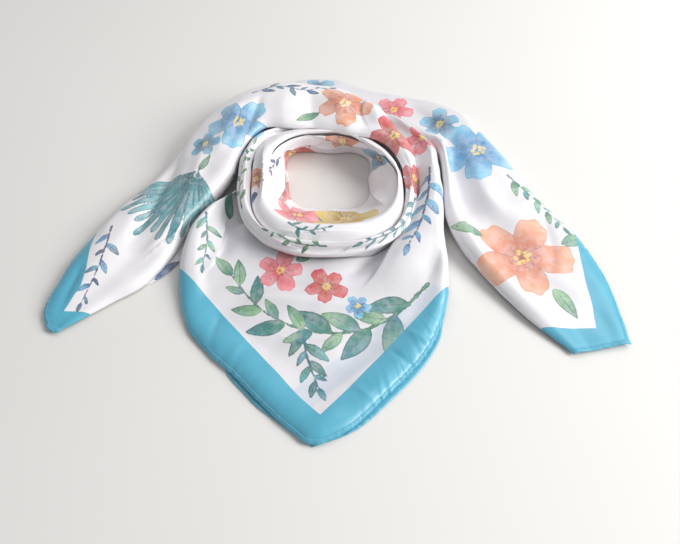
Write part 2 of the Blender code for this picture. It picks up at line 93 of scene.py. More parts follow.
# Sections of the front bib, from the left shoulder round the corner of the square to the pleat at
# the right and on behind the band. Each section runs from under the outer coil to an edge.
# edge x, y, z; heights at one and two thirds of the way; drop and run of the edge's foot
BIB = [
    (-119, 79, 20, 14, 17, 9, 0),
    (-135, 60, 25, 12, 20, 15, 1),
    (-149, 40, 27, 14, 22, 18, 2),
    (-160, 19, 26, 17, 24, 18, 2),
    (-165, -2, 22, 19, 22, 17, 2),
    (-167, -30, 15, 17, 16, 12, 2),
    (-163, -62, 9, 14.5, 11.5, 5.5, 1),
    (-150, -99, 4.5, 12.5, 8, 0.8, 0),
    (-126, -128, FLAT, 11.5, 6, 0, 0),
    (-103, -149, FLAT, 11, 5.6, 0, 0),
    (-62, -192, FLAT, 10, 5.2, 0, 0),
    (-25, -225, FLAT, 10, 5.2, 0, 0),
    (9, -206, FLAT, 10, 5.2, 0, 0),
    (45, -171, FLAT, 11, 5.8, 0, 0),
    (83, -128, 4.2, 13.5, 8, 0.4, 0),
    (102, -88, 9, 18, 13, 5, 1),
    (110, -55, 17, 23, 20, 13, 2),
    (111, -12, 28, 28, 30, 24, 2),
    (107, 29, 38, 32, 38, 34, 2),
    (107, 70, 45, 35, 43, 41, 2),
    (107, 98, 48.5, 38, 46, 43, 2),
    (106, 121, 50, 39.5, 46.5, 42, 2),
    (96, 140, 49, 39.5, 45, 28, 3),
    (82, 159, 47.5, 38.5, 42.5, 26, 4),
    (64, 182, 44, 35, 38.5, 22, 4),
    (48, 193, 36, 28, 30, 14, 3),
    (33, 200, 27, 20, 21, 9, 2),
    (13, 204, 19, 15, 16, 5, 1),
]
BIB_CORNER = 11
BLUNT_CORNER = 4.5           # how far the square's corner is rounded back
CORNER_INWARDS = (0.08, 0.99)

# Sections of the stretch on top: from the left tail's tip over the left shoulder, over the back
# of the loop and down its right side. There the loop's own lines carry it on as the outer coil.
# inner edge x, y, z; heights at one and two thirds; outer edge x, y, z;
# drop and run of the inner foot; drop and run of the outer foot
OVER = [
    (-281, -101, 3.7, 4.2, 4.2, -291, -98, 3.7, 0, 0, 0, 0),
    (-267, -90, 4.5, 6, 7, -298, -80, 4.5, 1.5, 0, 0.5, 0),
    (-232, -64, 7.5, 11, 14, -292, -42, 9, 5.2, 0, 3, 0),
    (-199, -38, 11, 14, 20, -268, 21, 12, 9, -1, 8, -1),
    (-178, -5, 16, 18, 24, -232, 72, 15, 13.5, -2, 12, -2),
    (-164, 29, 22, 23, 27, -199, 122, 20, 16, -1, 16, 2),
    (-142, 64, 29, 33, 34, -176, 165, 28, 18, -1, 24, 3),
    (-122, 94, 35, 42, 44, -150, 203, 34, 16, -1, 30, 4),
    (-112, 126, 40, 47, 50, -112, 236, 38, 8, -1, 28, 6),
    (-86, 160, 45, 51, 53, -68, 246, 41, 5, 0, 22, 8),
    (-46, 157, 46, 51, 54, -38, 240, 44, 5, 0, 25, 8),
    (-5, 151, 46, 50, 53, 2, 229, 45, 5, 0, 27, 9),
    (24, 144, 46.5, 50, 52, 22, 214, 47, 5, 0, 26, 8),
    (46, 135, 46.5, 50, 53, 47, 187, 50, 5, 0, 13, 5),
    (61, 118, 45.5, 49, 51, 66, 152, 48, 6, 0, 5, 3),
    (69, 98, 43.5, 47, 48, 79, 131, 44, 7, -0.5, 4, 1),
    (70.6, 80, 41, 45, 45, 85, 106, 40, 9, -1, 7, -1),
]
COIL_LINES = ("crease", "coil_edge", "coil_foot")     # its inner edge, outer edge and outer foot
COIL_ANGLES = (-12, -28, -45, -62, -80, -98, -116, -134, -152, -170, -188, -206, -222, -236, -250, -264,
               -278)
COIL_SINK = (-214, 15.0)      # where the coil starts to sink under the band, and how far down it ends
COIL_RISE = (3.5, 3.0)
COIL_FEET = (10, -1, -2)     # drop and run of the inner foot, run of the outer foot

# Sections of the stretch that passes under the crossing, round the back, and becomes the right
# tail. The columns are those of the stretch on top.
BELOW = [
    (-106, 218, 4.5, 5, 5, -100, 250, 4.5, 3, 0, 3, 0),
    (-86, 218, 9, 11, 11, -78, 269, 9, 7, 0, 7, 0),
    (-60, 222, 13, 16, 15, -56, 285, 12, 11, -1, 10, 0),
    (-8, 224, 15, 18, 17, -6, 288, 12, 12, -1, 10, 0),
    (38, 211, 16, 19, 20, 44, 262, 15, 13, -1, 13, 0),
    (70, 187, 17, 20, 22, 88, 244, 19, 12, -1, 17, 1),
    (94, 163, 23, 21, 26, 124, 228, 23, 14, -1, 21, 2),
    (112, 126, 44, 23, 28, 154, 204, 24, 28, 0, 22, 3),
    (116, 84, 42, 20, 27, 170, 176, 22, 30, 0, 20, 3),
    (118, 42, 31, 17, 24, 190, 141, 20, 26, -1, 18, 2),
    (137, -12, 21, 14, 20, 222, 76, 15, 17, -2, 13, 0),
    (171, -65, 13, 11, 15, 258, 18, 10, 9, -2, 4, 0),
    (199, -98, 8, 8, 10, 278, -42, 6, 4, -1, 0.3, 0),
    (227, -126, 4, 4.5, 5, 285, -115, 4, 0, 0, 0, 0),
]

# The lower layer where it shows beyond the top one: outer edge x, y; inner edge x, y
UNDER_BIB = [
    (-113, -138, -100, -126),
    (-106, -150, -92, -138),
    (-91, -167, -76, -152),
    (-76, -183, -62, -168),
    (-62, -194, -50, -180),
    (-40, -211, -36, -190),
    (-24, -222, -25, -198),
    (12, -207, -2, -188),
    (49, -174, 30, -155),
    (86, -131, 66, -116),
    (99, -107, 78, -94),
    (104, -86, 84, -80),
]
UNDER_BIB_CORNER = 6
UNDER_TAIL = [
    (-207, -42, -210, -32),
    (-199, -39, -204, -26),
    (-189, -31, -196, -18),
    (-177, -17, -186, -6),
    (-168, -2, -176, 8),
    (-164, 10, -172, 16),
]

# What lies inside the blue border, as areas seen from above
INSIDE = {
    "front_bib": [(-190, -2), (-165, -29), (-143, -53), (-120, -79), (-88, -116), (-57, -152), (-37, -176),
            (-18, -195), (1, -174), (20, -151), (39, -129), (59, -106), (80, -82), (96, -65), (108, -54),
            (135, -28), (135, 300), (-190, 300)],
    "upper_stretch": [(-262, 60), (-264, 17), (-264, -7), (-263, -31), (-265, -50), (-272, -65), (-278, -78),
                  (-266, -78), (-253, -79), (-200, -84), (200, -84), (200, 400), (-262, 400)],
    "lower_stretch": [(254, 80), (254, 20), (253, -14), (253, -41), (255, -73), (254, -98), (238, -98),
                   (218, -99), (204, -98), (100, -97), (-300, -97), (-300, 400), (254, 400)],
}

# Where the lower layer's border lies under the white of the bib, seen from above, and shows through
UNDER_BORDER = [(96, -50), (80, -63), (61, -79), (37, -97), (21, -110), (9, -123), (-22, -148), (-37, -161),
                (-51, -176), (-35, -196), (-6, -168), (37, -130), (77, -99), (112, -70)]

# Creases of each cloth, seen from above: half width, height of the ridge (a trough is below 0),
# share of the height at its start and at its end, and its line
CREASES = {
    "upper_stretch": [
        # The left tail: its long valley, the ridges on both sides and the lower trough
        (11, -8.5, 0.2, 0, [(-184, 150), (-188, 128), (-193, 106), (-199, 84), (-205, 62), (-210, 40),
                            (-216, 20), (-223, 2), (-231, -14)]),
        (11, 5.0, 0.2, 0, [(-152, 150), (-156, 126), (-160, 99), (-166, 73), (-174, 48), (-184, 24),
                           (-194, 3), (-208, -18), (-226, -40)]),
        (8, -3.5, 0.5, 0, [(-135, 58), (-147, 45), (-160, 30), (-176, 12), (-192, -6), (-207, -22),
                           (-224, -38)]),
        (9, 2.5, 0, 0, [(-215, 112), (-227, 85), (-239, 58), (-250, 33), (-260, 6)]),
        (5, -1.8, 0.3, 0, [(-285, -85), (-279, -64), (-273, -40), (-266, -13)]),
        # The band over the back: its pinches and swells, and the ridge on the shoulder
        (14, 2.6, 0.1, 0.9, [(-62, 212), (-65, 198), (-67, 184), (-66, 170), (-62, 156)]),
        (12, -3.4, 0.1, 0.9, [(-36, 218), (-35, 202), (-34, 186), (-33, 170), (-31, 155)]),
        (12, 3.5, 0.1, 1, [(-8, 216), (-5, 200), (-2, 182), (3, 164), (9, 150)]),
        (9, -2.5, 0.1, 1, [(22, 208), (24, 190), (25, 174), (27, 158)]),
        (10, 3.5, 0, 0.1, [(-112, 210), (-121, 186), (-128, 158), (-135, 131), (-142, 105)]),
        (6, -3.0, 0, 0.5, [(-92, 215), (-99, 184), (-105, 158), (-111, 134)]),
        (8, 2.0, 0, 0.6, [(32, 196), (40, 178), (44, 160), (46, 144)]),
        (5, -2.0, 0.1, 0, [(-50, 236), (-20, 226), (6, 219), (28, 205), (44, 186)]),
        # The outer coil
        (5, -2.5, 0, 0, [(63, 118), (74, 101), (78, 80), (75, 59), (67, 38)]),
        (4, 2.2, 0, 0, [(-109, 112), (-111, 91), (-110, 62), (-103, 34), (-90, 10)]),
    ],
    "second_coil": [
        (3.5, -2.0, 0, 0, [(-82, 129), (-89, 104), (-92, 82), (-91, 61), (-85, 36)]),
        (4, -2.0, 0, 0, [(28, 143), (50, 130), (63, 104), (67, 77), (61, 49)]),
        (5, 1.4, 0, 0, [(-60, 10), (-30, 2), (0, 0), (28, 8)]),
    ],
    "front_bib": [
        # The left shoulder: the swell of its roll and the trough beyond its crease
        (12, 2.5, 0.6, 0, [(-138, 50), (-147, 28), (-152, 4), (-152, -20), (-149, -48), (-143, -72)]),
        (12, -7.0, 0.6, 0, [(-108, 72), (-113, 54), (-117, 36), (-120, 16), (-124, 0), (-130, -14),
                            (-138, -28)]),
        (9, -12.0, 0.5, 0, [(-97, 80), (-100, 64), (-102, 50), (-102, 34)]),
        # Swags below the loop
        (9, 2.6, 0, 0, [(-120, -58), (-92, -63), (-62, -65), (-36, -68), (-10, -70), (12, -72), (34, -70),
                        (52, -62)]),
        (6, -2.4, 0, 0, [(-112, -44), (-86, -47), (-60, -49), (-36, -51), (-12, -53), (8, -55), (24, -56)]),
        (10, -2.6, 0, 0, [(-64, -82), (-34, -92), (0, -96), (34, -95), (68, -88)]),
        # The pleat at the right: the trough beside its fold, and a shallow one on it
        (12, -6.5, 0.3, 0, [(66, 40), (54, 20), (40, -2), (26, -20), (12, -33), (-8, -42)]),
        (17, 5.0, 0.5, 0, [(104, 58), (95, 36), (83, 12), (69, -11), (54, -32), (38, -50)]),
        (9, -2.5, 0.3, 0, [(112, 20), (106, -6), (96, -32), (82, -56)]),
        # The broad valley across the square's corner and slight waves in its border
        (16, -2.6, 0, 0, [(-37, -163), (-14, -149), (10, -133), (34, -114), (59, -93)]),
        (4, 1.0, 0, 0.6, [(10, -158), (22, -170), (32, -180)]),
        (3, -1.2, 0, 0.6, [(46, -120), (60, -134), (72, -145)]),
        (4, 1.0, 0, 0.6, [(64, -98), (78, -110), (90, -120)]),
        (4, -1.0, 0, 0.5, [(-118, -78), (-124, -98), (-127, -118)]),
        (5, 0.9, 0, 0.5, [(-92, -108), (-102, -126), (-108, -141)]),
    ],
    "lower_stretch": [
        (7, 3.0, 0.3, 0, [(106, 120), (109, 88), (112, 58), (119, 30), (130, 4), (145, -22)]),
        (11, -10.5, 0.1, 0, [(126, 152), (128, 128), (131, 104), (135, 80), (140, 58), (146, 42), (157, 29)]),
        (12, 4.5, 0.2, 0, [(148, 140), (152, 114), (158, 88), (166, 66), (175, 50), (188, 36)]),
        (8, -2.0, 0, 0, [(214, 62), (222, 28), (224, -8), (218, -44)]),
        (10, -2.5, 0, 0, [(70, 232), (92, 214), (112, 190), (128, 166)]),
    ],
}

# Laps: keen folds that stand above the cloth on one side of their line, the left of its direction,
# and slope away on the other. Width of the slope, height, shares at the start and end, and the line
LAPS = {
    "upper_stretch": [
        (9, 2.4, 0.2, 0, [(31, -10), (5, -20), (-26, -22), (-49, -17), (-67, -4), (-82, 16)]),
        (9, 2.0, 0, 0, [(-160, 44), (-171, 24), (-184, 6), (-199, -10), (-214, -24)]),
        (10, 1.8, 0, 0.4, [(40, 212), (30, 195), (26, 178), (30, 160)]),
    ],
    "front_bib": [
        # The left shoulder's crease, then the pleat's fold
        (14, 3.0, 0.3, 0, [(-137, -28), (-131, -14), (-127, 0), (-125, 16), (-124, 34), (-122, 52)]),
        (20, 4.8, 0.6, 0, [(92, 64), (87, 48), (80, 32), (71, 15), (59, -3), (47, -22), (36, -38), (27, -48),
                           (16, -58)]),
        (9, 1.6, 0, 0, [(4, -110), (-30, -116), (-66, -104)]),
    ],
    "lower_stretch": [
        (9, 2.0, 0.1, 0, [(157, -30), (146, -6), (136, 20), (130, 44)]),
    ],
}


# The same on the loop, with each line as places round it in degrees from +X towards +Y, and shares
# of the way across, from the inner edge. Troughs and ridges first, then laps
LOOP_CREASES = {
    "second_coil": [
        (5, -5.0, 0, 0, [(209, 0.72), (198, 0.54), (182, 0.48), (166, 0.50), (152, 0.64)]),
        (9, -4.5, 0, 0, [(84, 0.12), (66, 0.15), (46, 0.17), (28, 0.15), (12, 0.10)]),
    ],
    "inner_wall": [
        (5, -3.0, 0, 0, [(214, 0.85), (196, 0.72), (176, 0.68), (156, 0.72), (138, 0.9)]),
        (9, -4.0, 0, 0, [(84, 0.98), (66, 0.98), (46, 0.98), (28, 0.98), (12, 0.98)]),
        (7, -5.0, 0, 0.3, [(40, 0.80), (30, 0.66), (22, 0.44), (20, 0.15)]),
        (6, -3.0, 0, 0, [(236, 0.78), (256, 0.66), (276, 0.62), (296, 0.74)]),
        (4, 2.5, 0, 0, [(120, 0.3), (104, 0.35), (88, 0.3), (70, 0.35)]),
    ],
}
LEFT_BAND = [(216, 0.94), (211, 0.62), (200, 0.38), (188, 0.37), (176, 0.38), (164, 0.40), (153, 0.43),
             (144, 0.60), (136, 0.82)]
BACK_FACET = [(143, 0.72), (131, 0.58), (117, 0.54), (104, 0.58), (95, 0.82)]
SLIVER = [(136, 0.66), (147, 0.42), (163, 0.28), (177, 0.24), (195, 0.22), (205, 0.33), (211, 0.47)]
RIGHT_FACET = [(20, 0.98), (11, 0.52), (5, 0.05)]
LOOP_LAPS = {
    "second_coil": [
        (7, 3.6, 0, 0, SLIVER),
        (6, 1.8, 0, 0, [(306, 0.50), (288, 0.44), (268, 0.44), (246, 0.50), (228, 0.62)]),
    ],
    "inner_wall": [
        # Left: the panel's edge beside the hole
        (10, 5.0, 0.1, 0.2, LEFT_BAND),
        # Back: the facet's lower edge, then a flap that carries on to the right
        (8, 4.5, 0.2, 0, BACK_FACET),
        (8, 5.0, 0.3, 0, [(106, 0.96), (94, 0.92), (80, 0.80), (68, 0.78), (54, 0.68), (42, 0.42)]),
        # Right: the facet's upper edge and the fold at its foot
        (12, 5.0, 0.2, 0.4, RIGHT_FACET),
        (8, 4.5, 0.3, 0, [(338, 0.12), (331, 0.40), (326, 0.62), (324, 0.85)]),
        # Front: the swell below the rim
        (9, 4.0, 0, 0, [(311, 0.85), (299, 0.60), (285, 0.44), (271, 0.38), (255, 0.44), (239, 0.62),
                        (227, 0.9)]),
    ],
}

# Gathers beside the hems: first and last place, height, length of a wave, reach inwards, seed
PUCKERS = {
    "front_bib": [
        (8, BIB_CORNER - 0.1, 0.35, 9, 9, 3),
        (BIB_CORNER + 0.1, 15.5, 0.6, 8, 12, 5),
    ],
    "upper_stretch": [(-1, 3.1, 0.35, 9, 8, 7)],
    "lower_stretch": [(10.8, 14, 0.35, 9, 8, 9)],
    "bib_lower_edge": [(-1, 10, 0.25, 9, 9, 21)],
}

# Slight unevenness of each cloth: height, length of a wave, seed
RIPPLE = {
    "upper_stretch": (0.45, 46, 2),
    "second_coil": (0.25, 34, 3),
    "inner_wall": (0.5, 30, 4),
    "front_bib": (0.5, 50, 5),
    "lower_stretch": (0.45, 48, 6),
}


# ---------------------------------------------------------------- curves

def smooth(knots, values, at):
    """A smooth curve through rows of values at increasing knots, read at other places."""
    at = np.clip(at, knots[0], knots[-1])
    steps = np.diff(knots)[:, None]
    slopes = np.diff(values, axis=0) / steps
    share = steps[:-1] / (steps[:-1] + steps[1:])
    between = slopes[:-1] * (1 - share) + slopes[1:] * share
    tangents = np.concatenate([slopes[:1], between, slopes[-1:]])
    i = np.clip(np.searchsorted(knots, at, side="right") - 1, 0, len(steps) - 1)
    step = steps[i]
    t = (at - knots[i])[:, None] / step
    start = values[i] * (2 * t**3 - 3 * t**2 + 1) + tangents[i] * step * (t**3 - 2 * t**2 + t)
    end = values[i + 1] * (3 * t**2 - 2 * t**3) + tangents[i + 1] * step * (t**3 - t**2)
    return start + end


def smooth_to_corner(knots, values, at, corner):
    """The same, with a sharp corner at one of the knots."""
    first = at <= knots[corner]
    before = smooth(knots[:corner + 1], values[:corner + 1], at[first])
    return np.concatenate([before, smooth(knots[corner:], values[corner:], at[~first])])


def straight(knots, values, at):
    """Values at increasing knots, read at other places on straight lines between them."""
    read = [np.interp(at, knots, column) for column in values.reshape(len(values), -1).T]
    return np.column_stack(read).reshape(len(at), *values.shape[1:])


def unit(vectors):
    """The same directions with a length of 1."""
    return vectors / np.maximum(np.linalg.norm(vectors, axis=-1, keepdims=True), 1e-9)


def travel(points):
    """Distance along a run of points."""
    steps = np.linalg.norm(np.diff(points, axis=0), axis=1)
    return np.concatenate([[0], np.cumsum(steps)])


def resample(points, count):
    """A run of points read again at an even spacing."""
    along = travel(points)
    return smooth(along, points, np.linspace(0, along[-1], count))


def eased(x):
    """0 below 0, 1 above 1, and a soft step between."""
    x = np.clip(x, 0, 1)
    return x * x * (3 - 2 * x)


def loop_line(name, angles):
    """Points of one of the loop's lines, at angles in degrees from +X towards +Y."""
    x, y, width, depth, *shape = LOOP[name]
    corners = np.array(shape[:4])
    heights = np.array(shape[4:] + shape[4:5], float)
    turned = np.mod(angles, 360)
    quarter = np.clip((turned // 90).astype(int), 0, 3)
    share = eased(turned / 90 - quarter)
    turn = np.radians(turned)
    full = 1 + corners[quarter] * np.sin(2 * turn) ** 2
    z = heights[quarter] * (1 - share) + heights[quarter + 1] * share
    return np.stack([x + width * full * np.cos(turn), y + depth * full * np.sin(turn), z], axis=1)


def near_line(points, line, reach):
    """The points in the box round a line, by number."""
    low, high = line.min(0) - reach, line.max(0) + reach
    return np.flatnonzero(np.all((points > low) & (points < high), axis=1))


def line_distance(points, line):
    """Distance from each point to a run of straight pieces, and how far along it the nearest spot is."""
    best = np.full(len(points), 1e9)
    along = np.zeros(len(points))
    start_at = travel(line)
    for i in range(len(line) - 1):
        step = line[i + 1] - line[i]
        length = max(float(np.linalg.norm(step)), 1e-9)
        t = np.clip((points - line[i]) @ step / length**2, 0, 1)
        away = np.linalg.norm(points - line[i] - t[:, None] * step, axis=1)
        nearer = away < best
        best[nearer] = away[nearer]
        along[nearer] = start_at[i] + t[nearer] * length
    return best, along


def signed_distance(points, outline):
    """Distance to a closed outline, below 0 outside it."""
    line = np.array(list(outline) + [outline[0]], float)
    away, _ = line_distance(points, line)
    within = np.zeros(len(points), bool)
    for (ax, ay), (bx, by) in zip(line[:-1], line[1:]):
        crosses = (ay > points[:, 1]) != (by > points[:, 1])
        if crosses.any():
            at = ax + (points[:, 1] - ay) / (by - ay) * (bx - ax)
            within ^= crosses & (points[:, 0] < at)
    return np.where(within, away, -away)


# ---------------------------------------------------------------- surfaces

FADE = 0.35          # share of a fold's line over which it rises to its height at either end
SHARP = 0.25         # share of a crease's height that is keen and not rounded
LAP_EDGE = 1.3       # width of a lap's steep side, or this share of its height if that is more
LAP_SLANT = 0.36
LAP_OVERHANG = 0.55  # how far a lap hangs over, as a share of its height
NEXT_BEST = 3.0      # a place's height comes from its nearest point and those this much further off
TOP_LAYER = 9.0      # points this far below the highest ones of a place belong to its side or underside
EVENED = 7           # places along a fold's line over which its height is evened out
RIPPLES = 7          # waves that make up a cloth's unevenness
GATHERS = (1.0, 1.73, 0.61)     # the waves that make up a hem's gathers, as shares of their length
LEAST_HEIGHT = SHEET + 0.2      # of the cloth above the table
LOWER_HEIGHT = 1.6              # of a lower layer that shows


def section(inner, outer, heights, feet, count):
    """A section of a stretch as points in space: inner foot, edge, crest, edge and outer foot."""
    width = float(np.linalg.norm((outer - inner)[:2]))
    drop_in, run_in, drop_out, run_out = feet
    roll_in = min(ROLL, 0.5 * drop_in, 0.3 * width)
    roll_out = min(ROLL, 0.5 * drop_out, 0.3 * width)
    points = [(roll_in, inner[2]), (width / 3, heights[0])]
    points += [(2 * width / 3, heights[1]), (width - roll_out, outer[2])]
    if drop_in > 0:
        points = [(-run_in, inner[2] - drop_in), (0, inner[2] - roll_in)] + points
    if drop_out > 0:
        points += [(width, outer[2] - roll_out), (width + run_out, outer[2] - drop_out)]
    curve = resample(resample(np.array(points, float), 4 * len(points)), count)
    direction = (outer - inner)[:2] / width
    return np.column_stack([inner[:2] + curve[:, :1] * direction, curve[:, 1]])


def over_rows():
    """The stretch on top, with the rows of the outer coil taken from the loop's own lines."""
    angles = np.array(COIL_ANGLES, float)
    sunk_from, depth = COIL_SINK
    sink = eased((sunk_from - angles) / (sunk_from - angles[-1])) * depth
    inner, outer, foot = [loop_line(name, angles) - np.outer(sink, (0, 0, 1)) for name in COIL_LINES]
    rows = [list(row) for row in OVER]
    for a, b, c in zip(inner, outer, foot):
        crest = (a[2] + COIL_RISE[0], (a[2] + b[2]) / 2 + COIL_RISE[1])
        rows.append([*a, *crest, *b, COIL_FEET[0], COIL_FEET[1], b[2] - c[2], COIL_FEET[2]])
    return rows


def tuck_point(edge):
    """Where a section of the bib starts, under the outer coil, on the way to its edge."""
    x, y = edge[:2] - LOOP["tuck"][:2]
    return loop_line("tuck", np.degrees([np.arctan2(y, x)]))[0]


def normals(surface):
    """The direction square to a surface at each of its points, upwards on the whole."""
    made = unit(np.cross(np.gradient(surface, axis=0), np.gradient(surface, axis=1)))
    return -made if made[..., 2].sum() < 0 else made


class Cloth:
    """A fine grid of points on one stretch of cloth, and what its material has to know of each."""

    def __init__(self, name, points, places, wrap=False):
        self.name = name
        self.base = points
        self.places = np.asarray(places, float)
        self.wrap = wrap
        self.rise = np.zeros(points.shape[:2])
        self.shift = np.zeros(points.shape)
        self.inside = np.full(points.shape[:2], FAR)
        self.over_border = np.full(points.shape[:2], -FAR)
        ring = np.concatenate([points[-1:], points, points[:1]])
        self.normal = normals(ring)[1:-1] if wrap else normals(points)
        self.flat = self.unrolled()

    def unrolled(self):
        """Each point's place on the flat cloth, along and across it, or in plan with its slopes laid flat."""
        middle = self.base.shape[1] // 2
        steps = np.linalg.norm(np.diff(self.base, axis=1), axis=2)
        arc = np.pad(np.cumsum(steps, axis=1), ((0, 0), (1, 0)))
        if self.wrap:
            along = np.broadcast_to(travel(self.base[:, middle])[:, None], arc.shape)
            return np.stack([along, arc], axis=2)
        direction = unit((self.base[:, -1] - self.base[:, 0])[:, :2])
        reach = (arc - arc[:, middle:middle + 1])[..., None]
        return self.base[:, middle, None, :2] + reach * direction[:, None]

    def around(self, angles, across):
        """Points of a loop's plain form at angles round it and shares of the way across."""
        grid = np.concatenate([self.base, self.base[:1]])
        rows, columns = grid.shape[:2]
        i = np.interp(np.mod(angles, 360), [*self.places, 360], range(rows))
        j = np.clip(across, 0, 1) * (columns - 1)
        i0 = np.minimum(i.astype(int), rows - 2)
        j0 = np.minimum(j.astype(int), columns - 2)
        u, v = (i - i0)[:, None], (j - j0)[:, None]
        near = grid[i0, j0] * (1 - v) + grid[i0, j0 + 1] * v
        far = grid[i0 + 1, j0] * (1 - v) + grid[i0 + 1, j0 + 1] * v
        return near * (1 - u) + far * u

    def above(self, plan):
        """Points of the plain form at places seen from above."""
        points = self.base.reshape(-1, 3)
        heights = []
        for place in plan:
            away = np.hypot(*(points[:, :2] - place).T)
            near = away < away.min() + NEXT_BEST
            near[near] = points[near, 2] > points[near, 2].max() - TOP_LAYER
            heights.append(np.average(points[near, 2], weights=1 / (away[near] ** 2 + 0.05)))
        padded = np.pad(heights, EVENED // 2, mode="edge")
        return np.column_stack([plan, np.convolve(padded, np.full(EVENED, 1 / EVENED), mode="valid")])

    def beside(self, line, width, at_start, at_end):
        """The points near a fold's line, by number: how far off and how far along it they are, and
        the share of the fold's height there."""
        points = self.base.reshape(-1, 3)
        near = near_line(points, line, 3 * width)
        away, along = line_distance(points[near], line)
        t = along / travel(line)[-1]
        start = at_start + (1 - at_start) * eased(t / FADE)
        end = at_end + (1 - at_end) * eased((1 - t) / FADE)
        return near, away, along, start * end

    def crease(self, width, height, at_start, at_end, line):
        """A soft ridge, or a trough where its height is below 0."""
        near, away, _, share = self.beside(line, width, at_start, at_end)
        q = away / width
        soft = np.exp(-q**2)
        keen = np.exp(-(np.sqrt(q**2 + 0.03) - 0.1732) * 1.9) * eased(3 - q)
        self.rise.reshape(-1)[near] += height * share * (soft * (1 - SHARP) + keen * SHARP)

    def lap(self, width, height, at_start, at_end, line):
        """A keen fold: beside its line the cloth stands above itself and hangs over a little."""
        near, away, along, share = self.beside(line, width, at_start, at_end)
        far = travel(line)
        ahead = straight(far, np.gradient(line, axis=0), along)
        right = unit(np.cross(ahead, self.normal.reshape(-1, 3)[near]))
        offset = self.base.reshape(-1, 3)[near] - straight(far, line, along)
        raised = (offset * right).sum(axis=1) < 0
        edge = max(LAP_EDGE, LAP_SLANT * height)
        slope = np.exp(-(away / width) ** 1.4)
        face = np.exp(-(away / edge) ** 2)
        lip = np.exp(-(away / (2 * edge)) ** 2)
        self.rise.reshape(-1)[near] += height * share * np.where(raised, slope, face)
        over = LAP_OVERHANG * height * share * np.where(raised, lip, 0)
        self.shift.reshape(-1, 3)[near] += over[:, None] * right

    def fold(self):
        """Adds its creases and laps, from their tables."""
        for creases, laps, on_loop in ((CREASES, LAPS, False), (LOOP_CREASES, LOOP_LAPS, True)):
            for table, add in ((creases, self.crease), (laps, self.lap)):
                for *shape, spots in table.get(self.name, []):
                    spots = resample(np.array(spots, float), 6 * len(spots))
                    add(*shape, self.around(*spots.T) if on_loop else self.above(spots))

    def ripple(self, height, length, seed):
        """Slight unevenness of the whole cloth."""
        rng = np.random.default_rng(seed)
        x, y, z = np.moveaxis(self.base, 2, 0)
        for _ in range(RIPPLES):
            turn = rng.uniform(0, 2 * math.pi)
            size = length * rng.uniform(0.6, 1.7)
            phase = rng.uniform(0, 2 * math.pi)
            wave = (x * math.cos(turn) + y * math.sin(turn) + 0.6 * z) * 2 * math.pi / size + phase
            self.rise += height / 3 * np.sin(wave + 0.7 * np.sin(wave * 0.37))

    def pucker(self, first, last, height, length, reach, seed):
        """Short gathers that run inwards from a hem, between two places."""
        rng = np.random.default_rng(seed)
        edge = travel(self.base[:, -1])
        inwards = np.linalg.norm(self.base - self.base[:, -1:], axis=2)
        wave = np.zeros(len(edge))
        for share in GATHERS:
            uneven = rng.uniform(0.6, 1.4, len(edge)) * np.gradient(edge)
            phase = np.cumsum(uneven) * 2 * math.pi * share / length
            wave += np.sin(phase + rng.uniform(0, 6)) * rng.uniform(0.6, 1.0)
        strong = 0.55 + 0.45 * np.sin(edge / 31 + rng.uniform(0, 6))
        ends = eased((self.places - first) / 0.5) * eased((last - self.places) / 0.5)
        self.rise += (height * wave * strong * ends)[:, None] * np.exp(-inwards / reach)

    def settle(self):
        """Applies the folds, keeping the cloth above the table."""
        self.points = self.base + self.normal * self.rise[..., None] + self.shift
        self.points[..., 2] = np.maximum(self.points[..., 2], LEAST_HEIGHT)

    def away(self, outline):
        """How far each point lies inside an outline, seen from above."""
        return signed_distance(self.base[..., :2].reshape(-1, 2), outline).reshape(self.rise.shape)


def stretch_cloth(name, rows, sections, count):
    """A Cloth from a table of sections with an inner and an outer edge."""
    rows = np.array(rows, float)
    knots = travel((rows[:, 0:2] + rows[:, 5:7]) / 2)
    at = np.linspace(0, knots[-1], sections)
    made = smooth(knots, rows, at)
    made[:, (8, 10)] = np.maximum(made[:, (8, 10)], LEAST_DROP)
    points = np.array([section(r[0:3], r[5:8], r[3:5], r[8:12], count) for r in made])
    return Cloth(name, points, np.interp(at, knots, range(len(rows))))


def bib_cloth(name, sections_left, sections_right, count):
    """The front bib, from its tucked top to its edge, with the corner of the square kept sharp."""
    rows = np.array(BIB, float)
    knots = travel(rows[:, :2])
    corner = knots[BIB_CORNER]
    at = np.concatenate([
        np.linspace(0, corner, sections_left, endpoint=False),
        np.linspace(corner, knots[-1], sections_right),
    ])
    made = smooth(knots, rows, at)
    made[:, :2] = smooth_to_corner(knots, rows[:, :2], at, BIB_CORNER)
    made[:, 5] = np.maximum(made[:, 5], LEAST_DROP)
    blunt = BLUNT_CORNER * (1 - np.abs(at - corner) / (3 * BLUNT_CORNER)).clip(0) ** 2
    made[:, :2] += blunt[:, None] * np.array(CORNER_INWARDS)
    points = [section(tuck_point(r[:3]), r[:3], r[3:5], (0, 0, r[5], r[6]), count) for r in made]
    return Cloth(name, np.array(points), np.interp(at, knots, range(len(rows))))


def loop_cloth(name, names, sections, count):
    """A surface swept round the loop through some of its lines."""
    angles = np.linspace(0, 360, sections, endpoint=False)
    lines = np.stack([loop_line(line, angles) for line in names], axis=1)
    points = np.array([resample(resample(run, 24), count) for run in lines])
    return Cloth(name, points, angles, wrap=True)


